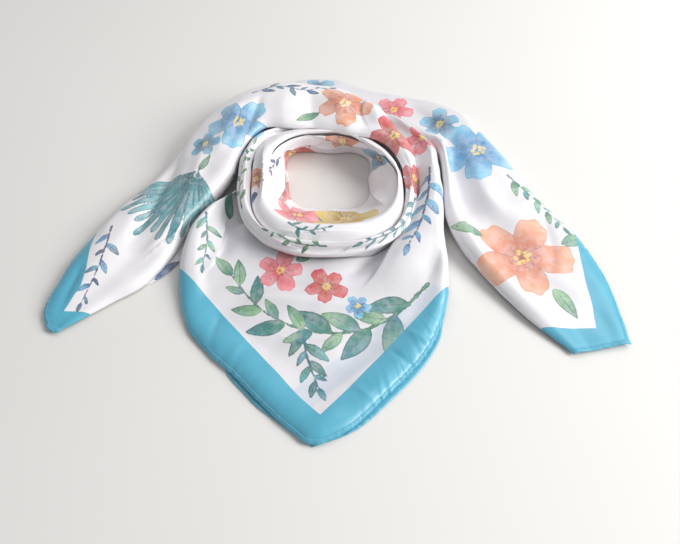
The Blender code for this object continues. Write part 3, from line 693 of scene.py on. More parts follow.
def edge_cloth(name, table, sections, count, corner=None):
    """The flat strip of a lower layer, from its table of outer and inner edges."""
    rows = np.array(table, float)
    knots = travel(rows[:, :2])
    at = np.linspace(0, knots[-1], sections)
    if corner is None:
        read = smooth(knots, rows, at)
    else:
        at = np.sort(np.append(at, knots[corner]))
        read = smooth_to_corner(knots, rows, at, corner)
    share = np.linspace(0, 1, count)[None, :, None]
    plan = read[:, None, 2:4] * (1 - share) + read[:, None, 0:2] * share
    z = np.full(plan.shape[:2] + (1,), LOWER_HEIGHT)
    return Cloth(name, np.concatenate([plan, z], axis=2), np.interp(at, knots, range(len(rows))))


# ---------------------------------------------------------------- materials

WHITE = (0.950, 0.940, 0.952)
SHADED_WHITE = (0.888, 0.882, 0.898)        # the white painted greyer as shade, for the bib and the lower stretch; in part the show-through of two layers spread out on the table
INSIDE_WHITE = (0.90, 0.895, 0.92)
BORDER_BLUE = (0.33, 0.69, 0.80)
HEM_BLUE = (0.36, 0.70, 0.81)
THREAD_BLUE = (0.50, 0.78, 0.86)
BORDER_BELOW = (0.925, 0.955, 0.985)      # what the border of the layer below leaves of the light
VEIN_SHADE = (0.50, 0.52, 0.56)


def linear(colour):
    """A colour as seen on screen, as the light that it reflects."""
    c = np.asarray(colour, float)
    return np.where(c <= 0.04045, c / 12.92, ((c + 0.055) / 1.055) ** 2.4)


def rgba(colour, shade=1.0):
    """A colour as seen on screen, darkened to a share of itself, for a shader."""
    return (*linear(np.array(colour) * shade), 1.0)


class Nodes:
    """Short calls for a material's nodes."""

    def __init__(self, name):
        self.material = bpy.data.materials.new(name)
        self.material.use_nodes = True
        self.tree = self.material.node_tree
        self.shader = self.tree.nodes["Principled BSDF"]

    def put(self, value, socket):
        """Links or sets an input."""
        if isinstance(value, bpy.types.NodeSocket):
            self.tree.links.new(value, socket)
        else:
            socket.default_value = value

    def node(self, kind, inputs=(), output=0, **settings):
        made = self.tree.nodes.new("ShaderNode" + kind)
        for key, value in settings.items():
            setattr(made, key, value)
        for key, value in dict(inputs).items():
            self.put(value, made.inputs[key])
        return made.outputs[output]

    def math(self, operation, a, b):
        return self.node("Math", {0: a, 1: b}, operation=operation)

    def ramp(self, value, low, high, to_low=0.0, to_high=1.0):
        """A soft step between two values of an input."""
        return self.node("MapRange", {0: value, 1: low, 2: high, 3: to_low, 4: to_high},
                         interpolation_type="SMOOTHSTEP", clamp=True)

    def mix(self, share, a, b, blend="MIX"):
        made = self.tree.nodes.new("ShaderNodeMix")
        made.data_type = "RGBA"
        made.blend_type = blend
        self.put(share, made.inputs[0])
        self.put(a, made.inputs[6])
        self.put(b, made.inputs[7])
        return made.outputs[2]

    def times(self, a, b):
        """One colour multiplied by another."""
        return self.mix(1.0, a, b, "MULTIPLY")

    def noise(self, vector, scale, detail=2.0, roughness=0.5):
        inputs = {"Vector": vector, "Scale": scale, "Detail": detail, "Roughness": roughness}
        return self.node("TexNoise", inputs)

    def wander(self, value, noise, reach):
        """A value moved to and fro by a noise."""
        return self.math("ADD", value, self.math("MULTIPLY", self.math("SUBTRACT", noise, 0.5), reach))

    def attribute(self, name, output=0):
        return self.node("Attribute", attribute_name=name, output=output)

    def scaled(self, vector, size):
        return self.node("Mapping", {"Vector": vector, "Scale": size})

    def bump(self, strength, distance, height):
        return self.node("Bump", {"Strength": strength, "Distance": distance, "Height": height})

    def surface(self, inputs):
        """Sets inputs of the shader by name, and returns the finished material."""
        for name, value in inputs.items():
            self.put(value, self.shader.inputs[name])
        return self.material


def painted(n, cloth, plain, ground):
    """The plain cloth's colour with the print on it: washes, pools at the rims and veins."""
    grain = n.noise(cloth, 900.0, 2.0)
    wobble = n.noise(cloth, 240.0, 3.0)
    wash = n.noise(cloth, 75.0, 4.0, 0.6)
    ink = n.attribute("print_ink", 0)
    rim = n.wander(n.attribute("print_rim", 2), wobble, 1.6)
    line = n.wander(n.attribute("print_vein", 2), wobble, 0.7)
    paint = n.mix(n.ramp(wash, 0.36, 0.66, 0.0, 0.30), ink, rgba(ground))
    pooled = n.math("MULTIPLY", n.ramp(rim, -1.9, -0.5), 0.55)
    paint = n.mix(pooled, paint, n.times(ink, ink))
    vein = n.math("MULTIPLY", n.ramp(line, 0.75, 0.1), n.ramp(grain, 0.2, 0.7, 0.45, 0.85))
    paint = n.mix(vein, paint, n.times(ink, rgba(VEIN_SHADE)))
    colour = n.mix(n.math("MULTIPLY", n.ramp(rim, 0.35, -0.45), 0.94), plain, paint)
    below = n.ramp(n.attribute("over_border", 2), -2.5, 2.5)
    return n.mix(below, colour, rgba(BORDER_BELOW), "MULTIPLY")


def satin(name, ground=WHITE, plain=False):
    """Satin: a smooth weave of floating threads, with the print and the border unless it is plain."""
    n = Nodes(name)
    cloth = n.attribute("cloth", 1)
    slub = n.noise(n.scaled(cloth, (160.0, 2600.0, 1.0)), 1.0, 2.0)
    cloudy = n.noise(cloth, 22.0, 3.0)
    colour = n.mix(n.ramp(cloudy, 0.35, 0.7), rgba(ground), rgba(ground, 0.985))
    if not plain:
        colour = painted(n, cloth, colour, ground)
        blue = n.mix(n.ramp(cloudy, 0.3, 0.7), rgba(BORDER_BLUE), rgba(BORDER_BLUE, 0.96))
        colour = n.mix(n.ramp(n.attribute("inside_border", 2), 0.35, -0.35), colour, blue)
    colour = n.mix(n.ramp(slub, 0.3, 0.8, 0.0, 0.10), colour, (0.80, 0.80, 0.82, 1.0), "MULTIPLY")
    twill = n.node("TexWave", {"Vector": cloth, "Scale": 560.0, "Distortion": 0.6, "Detail": 1.0},
                   output=1, wave_type="BANDS", bands_direction="DIAGONAL")
    height = n.math("ADD", n.math("MULTIPLY", twill, 0.35), slub)
    return n.surface({
        "Base Color": colour,
        "Roughness": n.ramp(slub, 0.2, 0.8, 0.33, 0.43),
        "Specular IOR Level": 0.85,
        "Sheen Weight": 0.12,
        "Sheen Roughness": 0.45,
        "Normal": n.bump(0.22, 0.00012, height),
    })


def thread(name, colour):
    """The turned hem and its stitching: the border's satin, pulled tight."""
    n = Nodes(name)
    cloth = n.attribute("cloth", 1)
    patchy = n.noise(cloth, 260.0, 3.0)
    fibre = n.noise(n.scaled(cloth, (2400.0, 300.0, 1.0)), 1.0, 2.0)
    shade = n.mix(n.ramp(patchy, 0.3, 0.7), rgba(colour), rgba(colour, 0.90))
    return n.surface({
        "Base Color": shade,
        "Roughness": n.ramp(fibre, 0.2, 0.8, 0.38, 0.52),
        "Sheen Weight": 0.15,
        "Normal": n.bump(0.35, 0.0002, fibre),
    })


MATERIALS = {
    "satin": satin("satin_print"),
    # A greyer copy of the printed satin: painted shade on the bib and the lower stretch
    "thin": satin("satin_print_shaded", ground=SHADED_WHITE),
    "inside": satin("satin_inside", ground=INSIDE_WHITE, plain=True),
    "hem": thread("border_hem", HEM_BLUE),
    "stitch": thread("hem_thread", THREAD_BLUE),
}


# ---------------------------------------------------------------- objects

def grid_faces(rows, columns, wrap_rows=False, wrap_columns=False):
    """The quads of a grid of points, by point number."""
    i = np.arange(rows if wrap_rows else rows - 1)[:, None]
    j = np.arange(columns if wrap_columns else columns - 1)[None, :]
    here = i * columns
    beyond = (i + 1) % rows * columns
    after = (j + 1) % columns
    return np.stack([here + j, here + after, beyond + after, beyond + j], axis=-1).reshape(-1, 4).tolist()


def point_data(mesh, name, kind, field, values):
    """Gives each point of a mesh a value, for its material."""
    made = mesh.attributes.new(name, kind, "POINT")
    made.data.foreach_set(field, np.ascontiguousarray(values, np.float32).ravel())


def add_object(name, data):
    """A new object in the scene."""
    made = bpy.data.objects.new(name, data)
    bpy.context.scene.collection.objects.link(made)
    return made


def mesh_object(name, points, faces, material, flat=None):
    """An object from points in the tables' millimetres, with their places on the flat cloth."""
    mesh = bpy.data.meshes.new(name)
    mesh.from_pydata(((points - MIDDLE) * METRE).tolist(), [], faces)
    if flat is not None:
        spread = np.column_stack([flat * METRE, np.zeros(len(flat))])
        point_data(mesh, "cloth", "FLOAT_VECTOR", "vector", spread)
    mesh.materials.append(MATERIALS[material])
    mesh.shade_smooth()
    return add_object(name, mesh)


def solid(name, points, faces, material, flat):
    """A closed object, with its faces turned outwards."""
    made = mesh_object(name, points, faces, material, flat)
    shaped = bmesh.new()
    shaped.from_mesh(made.data)
    bmesh.ops.recalc_face_normals(shaped, faces=shaped.faces)
    shaped.to_mesh(made.data)
    shaped.free()
    made.data.shade_smooth()
    return made


def place(made, slot, *nodes):
    """Puts a piece on the body, in place of the CAD nodes that it stands for."""
    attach(made, "root")
    if nodes:
        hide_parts(*nodes)


# What shows of the square, as sheets: flat width and length in metres, flat area in square metres,
# material, slot and the CAD nodes that it stands for
SHEETS = {
    "upper_stretch": (0.158, 1.100, 0.0725, "satin", "satin",
                      "tail_left", "crossing_band", "loop_outer_coil"),
    # The lower stretch, the bib and the bib's lower edge take the printed satin in painted shade
    "lower_stretch": (0.169, 0.587, 0.0626, "thin", "satin", "back_stretch", "tail_right"),
    "front_bib": (0.209, 0.667, 0.0685, "thin", "satin", "bib"),
    "second_coil": (0.036, 0.531, 0.0160, "satin", "satin", "loop_second_coil"),
    "inner_wall": (0.074, 0.395, 0.0205, "satin", "satin", "loop_inner_wall"),
    "bib_lower_edge": (0.024, 0.300, 0.0066, "thin", "border", "bib_lower_layer"),
    "left_tail_lower_edge": (0.013, 0.078, 0.0009, "satin", "satin", "tail_left_lower_layer"),
}


def thicken(made):
    """Gives a surface the sheet's thickness, below it."""
    wall = made.modifiers.new("wall", "SOLIDIFY")
    wall.thickness = SHEET * METRE
    wall.offset = -1
    wall.use_quality_normals = True


def show(cloth):
    width, length, area, material, slot, *nodes = SHEETS[cloth.name]
    faces = grid_faces(*cloth.points.shape[:2], cloth.wrap)
    made = mesh_object(cloth.name, cloth.points.reshape(-1, 3), faces, material, cloth.flat.reshape(-1, 2))
    mesh = made.data
    paint = cloth.print
    shades = np.column_stack([paint.ink, np.ones(len(paint.ink))])
    point_data(mesh, "print_ink", "FLOAT_COLOR", "color", shades)
    values = {"inside_border": cloth.inside, "over_border": cloth.over_border,
              "print_rim": paint.rim, "print_vein": paint.vein}
    for key, value in values.items():
        point_data(mesh, key, "FLOAT", "value", value)
    if sum(face.normal.z * face.area for face in mesh.polygons) < 0:
        mesh.flip_normals()
    thicken(made)
    place(made, slot, *nodes)
    pieces = tuple(piece for row in HEMS.get(cloth.name, ()) for piece in hem(cloth, *row))


# A turned hem's closed section: distance in from the cut edge, height above the cloth
HEM_SECTION = ((5.0, 0.0), (4.8, 0.42), (4.2, 0.6), (3.2, 0.72), (2.0, 0.8), (0.9, 0.74), (0.0, 0.45),
               (-0.3, -0.1), (-0.1, -0.75), (0.8, -1.05), (2.6, -1.1), (4.6, -0.95))
HEM_STEP = 0.8       # between sections
HEM_AROUND = 0.9     # between a section's points on the flat cloth
HEM_GROWTH = 22.0    # over which a hem grows out of a fold
HEM_THIN = 0.15      # share of its height where it starts
HEM_DRAWN = 0.16     # how far the stitches draw its top down, and from how far in
HEM_DRAWN_FROM = 3.5
HEM_WAVER = 0.22     # how far it wanders, and over what length
HEM_WAVER_STEP = 4.5
HEM_LEAST = 0.25     # least height above the table
HEM_TIP = 12         # sections of cloth under a hem across a tail's end
STITCH_GAP = 2.9
STITCH_START = 1.5
STITCH_LINE = 4.3    # in from the cut edge
STITCH_LIFT = 0.50   # above the cloth
STITCH_DRIFT = 0.08
STITCH_SAG = 0.12    # of its ends
STITCH_SIZE = (0.95, 0.26)    # half length and radius
STITCH_RINGS = ((-1, 0.25), (-0.7, 0.85), (0, 1.1), (0.7, 0.85), (1, 0.25))   # place and radius, as shares
STITCH_SIDES = 6

# Each cloth's hems: name, CAD node, seed, where they lie, and whether their start and end grow out of
# a fold. A hem lies on the outer edge from one place to another, or on the first or last section
HEMS = {
    "front_bib": [("bib_turned_hem", "hem_bib", 11, (7.6, 15.4), True, True)],
    "upper_stretch": [
        ("left_tail_side_hem", "hem_tail_left_side", 12, (0, 3.1), False, True),
        ("left_tail_end_hem", "hem_tail_left_end", 13, "first", False, False),
    ],
    "lower_stretch": [
        ("right_tail_side_hem", "hem_tail_right_side", 14, (10.8, 13), True, False),
        ("right_tail_end_hem", "hem_tail_right_end", 15, "last", False, False),
    ],
}


def hem_lines(cloth, where):
    """Lines that run inwards from a cut edge, and which way is up at the start of each."""
    if where in ("first", "last"):
        step = 1 if where == "first" else -1
        return cloth.points[::step][:HEM_TIP].transpose(1, 0, 2), cloth.normal[::step][0]
    on = (cloth.places >= where[0]) & (cloth.places <= where[1])
    return cloth.points[on][:, ::-1], cloth.normal[on][:, -1]


def hem(cloth, name, node, seed, where, grows_at_start, grows_at_end):
    """A cloth's turned hem along a cut edge, and its stitches."""
    rng = np.random.default_rng(seed)
    lines, ups = hem_lines(cloth, where)
    edge = travel(lines[:, 0])
    at = np.arange(0, edge[-1], HEM_STEP)
    ends = np.array([straight(travel(line), line, [0, HEM_WIDTH]) for line in lines])
    start, end = np.moveaxis(straight(edge, ends, at), 1, 0)
    up = straight(edge, ups, at)
    into = unit(end - start)
    knots = np.arange(0, edge[-1] + 2 * HEM_WAVER_STEP, HEM_WAVER_STEP)
    waver = np.interp(at, knots, rng.normal(0, HEM_WAVER, len(knots)))
    gather = 1 + 0.30 * np.cos(at * 2 * math.pi / STITCH_GAP) + 0.12 * np.sin(at * 1.3)
    full = np.ones(len(at))
    for grows, away in ((grows_at_start, at), (grows_at_end, at[-1] - at)):
        if grows:
            full *= HEM_THIN + (1 - HEM_THIN) * eased(away / HEM_GROWTH)
    rings = []
    for reach, lift in HEM_SECTION:
        share = reach / HEM_WIDTH
        base = start * (1 - share) + end * share if reach > 0 else start + into * reach
        drawn = HEM_DRAWN * gather * (reach > HEM_DRAWN_FROM and lift > 0)
        height = (lift * (1 + 0.10 * (gather - 1)) - drawn) * full
        rings.append(base + up * height[:, None] + into * (waver * (1 - 0.6 * share))[:, None])
    points = np.stack(rings, axis=1)
    points[..., 2] = np.maximum(points[..., 2], HEM_LEAST)
    rows, columns = points.shape[:2]
    faces = grid_faces(rows, columns, wrap_columns=True)
    faces += [list(range(first, first + columns)) for first in (0, (rows - 1) * columns)]
    flat = np.stack(np.meshgrid(at, np.arange(columns) * HEM_AROUND, indexing="ij"), axis=2)
    made = solid(name, points.reshape(-1, 3), faces, "hem", flat.reshape(-1, 2))
    place(made, "hem", node)
    return made, stitches(name + "_stitches", at, start, into, up, edge[-1], rng)


def stitches(name, at, start, into, up, length, rng):
    """One thread's stitches along a hem, each a short rounded bar."""
    half, radius = STITCH_SIZE
    where = np.arange(STITCH_START, length - STITCH_START, STITCH_GAP)
    a, b = straight(at, start, where - half), straight(at, start, where + half)
    inner, high = straight(at, into, where), straight(at, up, where)
    drift = rng.normal(0, STITCH_DRIFT, (len(where), 2))
    ahead = unit(b - a) + inner * drift[:, :1]
    middle = (a + b) / 2 + inner * (STITCH_LINE + drift[:, 1:]) + high * STITCH_LIFT
    angles = 2 * math.pi * np.arange(STITCH_SIDES)[:, None] / STITCH_SIDES
    spokes = inner[:, None] * np.cos(angles) + high[:, None] * np.sin(angles)
    rings = []
    for share, size in STITCH_RINGS:
        centre = (middle + ahead * half * share)[:, None]
        rings.append(centre + spokes * radius * size - (high * STITCH_SAG * share**2)[:, None])
    points = np.stack(rings, axis=1)
    count = len(rings) * STITCH_SIDES
    bar = grid_faces(len(rings), STITCH_SIDES, wrap_columns=True)
    bar += [list(range(STITCH_SIDES)), list(range(count - 1, count - 1 - STITCH_SIDES, -1))]
    faces = [[first + k for k in face] for first in range(0, len(where) * count, count) for face in bar]
    made = mesh_object(name, points.reshape(-1, 3), faces, "stitch")
    place(made, "hem")
    return made


# The folded layers that nothing shows: the cloth above, its first and last place, the shares of the
# way across between which they lie, and their CAD node
HIDDEN = {
    "left_tail_inner_layers": ("upper_stretch", 1.6, 5.8, 0.2, 0.85, "tail_left_hidden_layers"),
    "band_inner_layers": ("upper_stretch", 6.2, 11.2, 0.25, 0.8, "crossing_hidden_layers"),
    "back_inner_layers": ("lower_stretch", 1.2, 3.9, 0.2, 0.8, "back_hidden_layers"),
    "right_tail_inner_layers": ("lower_stretch", 4.2, 11.6, 0.2, 0.85, "tail_right_hidden_layers"),
    "bib_inner_layers": ("front_bib", 2, 15, 0.15, 0.65, "bib_hidden_layers"),
}
HIDDEN_GAP = 2.4         # below the cloth above
HIDDEN_RIM = 0.7         # height of their rim, as a share of the height there
HIDDEN_LEAST = 1.2       # least height of their top
HIDDEN_FOOT = 0.3        # height of their underside
HIDDEN_STEPS = (4, 3)    # every so many of the cloth's points along and across
CORE_GAP = 1.5           # below the loop's lines
CORE_SECTIONS = 120


def hidden(name, cloth, first, last, left, right, node):
    """The folded layers under a cloth that nothing shows, as one rounded solid on the table."""
    rows = np.flatnonzero((cloth.places >= first) & (cloth.places <= last))[::HIDDEN_STEPS[0]]
    count = cloth.points.shape[1]
    columns = np.arange(int(left * count), int(right * count), HIDDEN_STEPS[1])
    top = (cloth.points - cloth.normal * HIDDEN_GAP)[np.ix_(rows, columns)]
    for border in (np.s_[0, :], np.s_[-1, :], np.s_[:, 0], np.s_[:, -1]):
        top[border][..., 2] *= HIDDEN_RIM
    top[..., 2] = np.maximum(top[..., 2], HIDDEN_LEAST)
    bottom = top.copy()
    bottom[..., 2] = HIDDEN_FOOT
    rows, columns = top.shape[:2]
    number = np.arange(rows * columns).reshape(rows, columns)
    rim = np.concatenate([number[:, 0], number[-1, 1:], number[-2::-1, -1], number[0, -2:0:-1]])
    under = rows * columns
    pairs = np.column_stack([rim, np.roll(rim, -1)])
    sides = np.column_stack([pairs, under + pairs[:, ::-1]])
    faces = np.array(grid_faces(rows, columns))
    faces = np.concatenate([faces, under + faces[:, ::-1], sides]).tolist()
    inner_piece(name, np.concatenate([top, bottom]), faces, node)


def hidden_ring(name, node):
    """The inner layers of the loop, as one closed ring."""
    angles = np.linspace(0, 360, CORE_SECTIONS, endpoint=False)
    sections = np.stack([loop_line(line, angles) for line in CORE_LINES], axis=1)
    sections[..., 2] = np.maximum(sections[..., 2] - CORE_GAP, HIDDEN_FOOT)
    inner_piece(name, sections, grid_faces(*sections.shape[:2], True, True), node)


def inner_piece(name, points, faces, node):
    """A solid that nothing shows."""
    points = points.reshape(-1, 3)
    place(solid(name, points, faces, "inside", points[:, :2]), "satin_inside", node)


# ---------------------------------------------------------------- the print

TEAL = (0.13, 0.50, 0.55)
TEAL_LIGHT = (0.42, 0.74, 0.76)
CORAL = (0.86, 0.22, 0.30)
PINK = (0.95, 0.58, 0.60)
PEACH = (0.95, 0.68, 0.52)
RUST = (0.80, 0.42, 0.32)
SKY = (0.55, 0.82, 0.93)
BLUE = (0.22, 0.50, 0.74)
GREEN = (0.16, 0.52, 0.42)
LIME = (0.60, 0.78, 0.58)
NAVY = (0.18, 0.30, 0.46)
YELLOW = (0.90, 0.80, 0.36)
OCHRE = (0.74, 0.56, 0.24)


RIM_REACH = 4.0          # how far outside a shape its rim is still looked for
PETALS = 5
PETAL_DEPTH = 0.5        # of the notches between petals, as a share of the radius
STAMENS = 9
STEM_NARROWING = 0.6     # share of a stem's width that it loses by its end
FIRST_LEAF = 0.12        # how far along its stem a spray's first leaf stands
LEAF_WIDTH = 0.36        # of a spray's leaves, as a share of their length


class Print:
    """A watercolour print: at each point its ink, the distance to its rim and to its nearest vein."""

    def __init__(self, cloth):
        self.at = cloth.flat.reshape(-1, 2)
        share = np.linspace(0, 1, cloth.base.shape[1])
        self.spots = np.stack(np.meshgrid(cloth.places, share, indexing="ij"), axis=2).reshape(-1, 2)
        count = len(self.at)
        self.open = np.ones(count, bool)
        self.ink = np.ones((count, 3))
        self.rim = np.full(count, FAR)
        self.vein = np.full(count, FAR)

    def within(self, outline):
        """Folds cut off what is painted next outside an outline of places and shares across."""
        self.open = signed_distance(self.spots, outline) > 0

    def near(self, x, y, reach):
        """The points near a place, by number, and where they are from it."""
        found = np.flatnonzero(np.all(np.abs(self.at - (x, y)) < reach, axis=1))
        return found, self.at[found] - (x, y)

    def polar(self, x, y, reach, turn):
        """The same as distances, and angles from a heading."""
        found, off = self.near(x, y, reach)
        return found, np.hypot(*off.T), np.arctan2(off[:, 1], off[:, 0]) - math.radians(turn)

    def lay(self, found, away, ink, vein=None):
        """Paints where away, the distance outside a shape, is below 0."""
        take = ((away < 0) | ((away < 3) & (away < self.rim[found]))) & self.open[found]
        spots = found[take]
        ink = np.broadcast_to(ink, (len(found), 3))
        self.ink[spots] = ink[take]
        lines = np.full(len(found), FAR) if vein is None else vein
        self.vein[spots] = lines[take]
        self.rim[found] = np.where(self.open[found], np.minimum(self.rim[found], away), self.rim[found])

    def flower(self, x, y, radius, turn, outer, inner):
        """Broad petals with veins round a heart of small stamens."""
        found, r, a = self.polar(x, y, radius * 1.3, turn)
        share = np.mod(a * PETALS / (2 * math.pi), 1) - 0.5
        number = np.floor(a * PETALS / (2 * math.pi))
        size = radius * (1 + 0.07 * np.sin(number * 2.7 + x))
        lobes = (1 - PETAL_DEPTH) + PETAL_DEPTH * (1 - np.abs(2 * share) ** 2.6)
        reach = size * (lobes + 0.025 * np.sin(a * PETALS * 4 + 1.3) + 0.02 * np.sin(a * 13))
        t = np.clip(r / radius, 0, 1)[:, None]
        ink = linear(inner) * (1 - t**1.2) + linear(outer) * t**1.2
        ink = ink * (1 - 0.16 * np.abs(2 * share[:, None]) ** 3)
        arc = 2 * math.pi / PETALS * r
        vein = np.minimum(arc * (0.5 - np.abs(share)) * 0.8, arc * np.abs(share) + 0.25)
        for side in (0.14, 0.27):
            vein = np.minimum(vein, arc * np.abs(np.abs(share) - side * (0.4 + 0.6 * r / radius)) + 0.3)
        vein = np.where(r > 0.9 * reach, vein + 0.5, vein)
        self.lay(found, (r - reach) * 0.85, ink, vein)
        for k in range(STAMENS):
            angle = k * 2.4
            far = radius * (0.08 + 0.012 * k)
            self.dot(x + far * math.cos(angle), y + far * math.sin(angle), radius * 0.035 + 0.5, YELLOW)

    def dot(self, x, y, radius, ink):
        found, off = self.near(x, y, radius + RIM_REACH)
        self.lay(found, np.hypot(*off.T) - radius, linear(ink))

    def fan(self, x, y, radius, turn, spread, fronds, dark, light):
        """A fan palm's leaf: narrow fronds from one place, each with its own length."""
        found, r, a = self.polar(x, y, radius * 1.1, turn)
        a = np.mod(a + math.pi, 2 * math.pi) - math.pi
        spread = math.radians(spread)
        f = (a / spread + 0.5) * fronds
        number = np.clip(np.floor(f), 0, fronds - 1)
        share = f - number - 0.5
        side = (number + 0.5) / fronds * 2 - 1
        length = radius * (0.93 + 0.07 * np.sin(number * 2.4)) * (1 - 0.24 * side**2)
        width = spread / fronds * r
        reach = length * (1 - 0.14 * np.abs(2 * share) ** 2)
        split = (np.abs(share) - 0.5) * width + eased((r / length - 0.55) / 0.35) * 0.17 * width
        away = np.maximum(np.maximum(r - reach, (np.abs(a) - spread / 2) * r), split)
        tone = (0.5 + 0.5 * np.sin(number * 1.9 + 0.6)) * 0.55 + 0.35 * (1 - r / radius)
        tone = np.clip(tone, 0, 1)[:, None]
        ink = linear(dark) * (1 - tone) + linear(light) * tone
        vein = np.minimum((0.5 - np.abs(share)) * width, np.abs(share) * width + 0.35)
        self.lay(found, away, ink, vein)

    def leaf(self, x, y, length, width, turn, bend, ink, tip, veins=6):
        """A pointed leaf from its stalk, with a midrib and side veins."""
        found, off = self.near(x, y, length * 1.15 + 3)
        c, s = math.cos(math.radians(turn)), math.sin(math.radians(turn))
        u = off @ (c, s)
        t = u / length
        v = off @ (-s, c) - bend * length * np.clip(t, 0, 1.2) ** 2
        inside = np.clip(t, 0, 1)
        half = width / 2 * np.sin(math.pi * inside**0.8) ** 0.85
        beyond = np.maximum(-u, u - length)
        away = np.where(beyond > 0, np.hypot(beyond, v), (np.abs(v) - half) * 0.95)
        colour = linear(ink) * (1 - inside[:, None]) + linear(tip) * inside[:, None]
        colour = colour * np.where(v > 0, 1.0, 0.86)[:, None]
        step = length / veins
        rib = np.abs(np.mod(u - 0.9 * np.abs(v), step) - step / 2) * 0.75 + 0.3
        self.lay(found, away, colour, np.minimum(np.abs(v), rib))

    def stem(self, path, width, ink):
        """A brushed line that narrows towards its end. Returns its points."""
        line = resample(np.array(path, float), 8 * len(path))
        found = near_line(self.at, line, width + RIM_REACH)
        away, along = line_distance(self.at[found], line)
        t = along / travel(line)[-1]
        swell = 1 + 0.25 * np.sin(along * 0.45) + 0.15 * np.sin(along * 1.1)
        self.lay(found, away - width / 2 * (1 - t * STEM_NARROWING) * swell, linear(ink))
        return line

    def spray(self, path, width, ink, leaves, size, lean, inks, gap=1.0):
        """A stem with leaves on both sides, smaller towards its tip."""
        line = self.stem(path, width, ink)
        along = travel(line)
        for k in range(leaves):
            t = FIRST_LEAF + (1 - FIRST_LEAF) * (k + 0.3 * (k % 2)) / leaves
            here, ahead, back = straight(along, line, t * along[-1] + np.array([0, 2, -2]))
            heading = math.degrees(math.atan2(*(ahead - back)[::-1]))
            side = 1 if k % 2 else -1
            long = size * (1 - 0.45 * t) * (0.86 + 0.2 * math.sin(k * 2.3))
            turn = heading + side * (lean + 8 * math.sin(k * 1.7))
            first, second = inks[k % len(inks)], inks[(k + 1) % len(inks)]
            self.leaf(*here, long, long * LEAF_WIDTH * gap, turn, -side * 0.12, first, second, 5)
        heading = math.degrees(math.atan2(*(line[-1] - line[-3])[::-1]))
        self.leaf(*line[-1], size * 0.55, size * 0.2 * gap, heading, 0.05, inks[0], inks[-1], 4)


# ---------------------------------------------------------------- the scarf

def print_over(p):
    """The print of the upper stretch: left tail, shoulder, band and outer coil."""
    p.fan(-158, 96, 104, 240, 118, 15, TEAL, TEAL_LIGHT)
    p.leaf(-158, 96, 24, 8, 55, 0.1, GREEN, LIME)
    p.spray([(-106, 214), (-78, 222), (-44, 212), (-14, 224)], 2.4, NAVY, 9, 25, 48, [BLUE, NAVY, TEAL_LIGHT])
    p.flower(-118, 162, 36, 10, SKY, BLUE)
    p.flower(-154, 134, 18, 40, SKY, NAVY)
    p.flower(6, 188, 34, 20, PEACH, RUST)
    p.leaf(-24, 176, 30, 12, 200, 0.1, GREEN, LIME)
    p.flower(62, 136, 30, 0, CORAL, RUST)
    p.flower(84, 78, 22, 35, CORAL, RUST)
    p.spray([(86, 50), (76, 20), (56, 0), (24, -14)], 2.4, TEAL, 11, 22, 50, [TEAL, TEAL_LIGHT])
    p.spray([(-14, -18), (-44, -14), (-72, 0)], 2.0, GREEN, 6, 17, 50, [GREEN, LIME])
    p.spray([(-104, 34), (-112, 68), (-108, 100), (-98, 130)], 2.2, GREEN, 9, 19, 48, [LIME, GREEN])
    p.spray([(-246, 26), (-248, -8), (-254, -42), (-262, -68)], 2.2, NAVY, 8, 24, 50, [BLUE, SKY, NAVY])


def print_below(p):
    """The print of the lower stretch: the right tail and what shows of it behind the band."""
    p.flower(160, 138, 47, 15, SKY, BLUE)
    p.flower(120, 186, 25, 50, SKY, NAVY)
    p.spray([(190, 100), (208, 78), (226, 56), (242, 28)], 2.6, GREEN, 9, 30, 46, [GREEN, LIME, TEAL_LIGHT])
    p.flower(192, -12, 52, 30, PEACH, RUST)
    p.leaf(236, 4, 40, 17, 20, 0.1, GREEN, LIME)
    p.leaf(218, -52, 40, 16, -55, -0.1, LIME, GREEN)
    p.leaf(152, 12, 36, 15, 165, 0.1, GREEN, LIME)
    p.flower(-30, 262, 24, 0, SKY, NAVY)
    p.flower(66, 216, 24, 20, PINK, CORAL)


def print_bib(p):
    """The print of the front."""
    p.spray([(90, -50), (54, -84), (12, -102), (-36, -100), (-80, -76), (-112, -36)], 4.0, GREEN, 15, 56, 44,
            [GREEN, TEAL, LIME], gap=1.15)
    p.spray([(-36, -100), (-32, -130), (-20, -164)], 3.0, TEAL, 7, 34, 46, [TEAL, GREEN, TEAL_LIGHT])
    p.flower(-14, -50, 22, 12, CORAL, RUST)
    p.flower(-62, -30, 25, 40, PINK, CORAL)
    p.leaf(-46, -18, 28, 12, 30, 0.1, GREEN, LIME)
    p.flower(18, -74, 13, 20, SKY, BLUE)
    p.spray([(98, 88), (96, 52), (88, 18), (74, -8)], 2.6, NAVY, 9, 28, 46, [BLUE, SKY])
    p.flower(94, 134, 22, 0, PINK, CORAL)
    p.leaf(-122, 74, 30, 13, 275, 0, GREEN, GREEN)
    p.spray([(-146, 38), (-141, 8), (-143, -24)], 2.2, TEAL, 7, 22, 46, [TEAL_LIGHT, LIME, TEAL])


def print_second(p):
    """The print of the second coil, from the right round the back."""
    p.spray([(352, 9), (376, 14), (396, 10)], 2.0, TEAL, 6, 14, 48, [TEAL_LIGHT, TEAL])
    p.within(SLIVER + [(210, 0.92), (140, 0.92)])
    p.flower(262, 20, 16, 0, PEACH, RUST)
    p.leaf(282, 20, 18, 8, 20, 0.1, NAVY, BLUE)


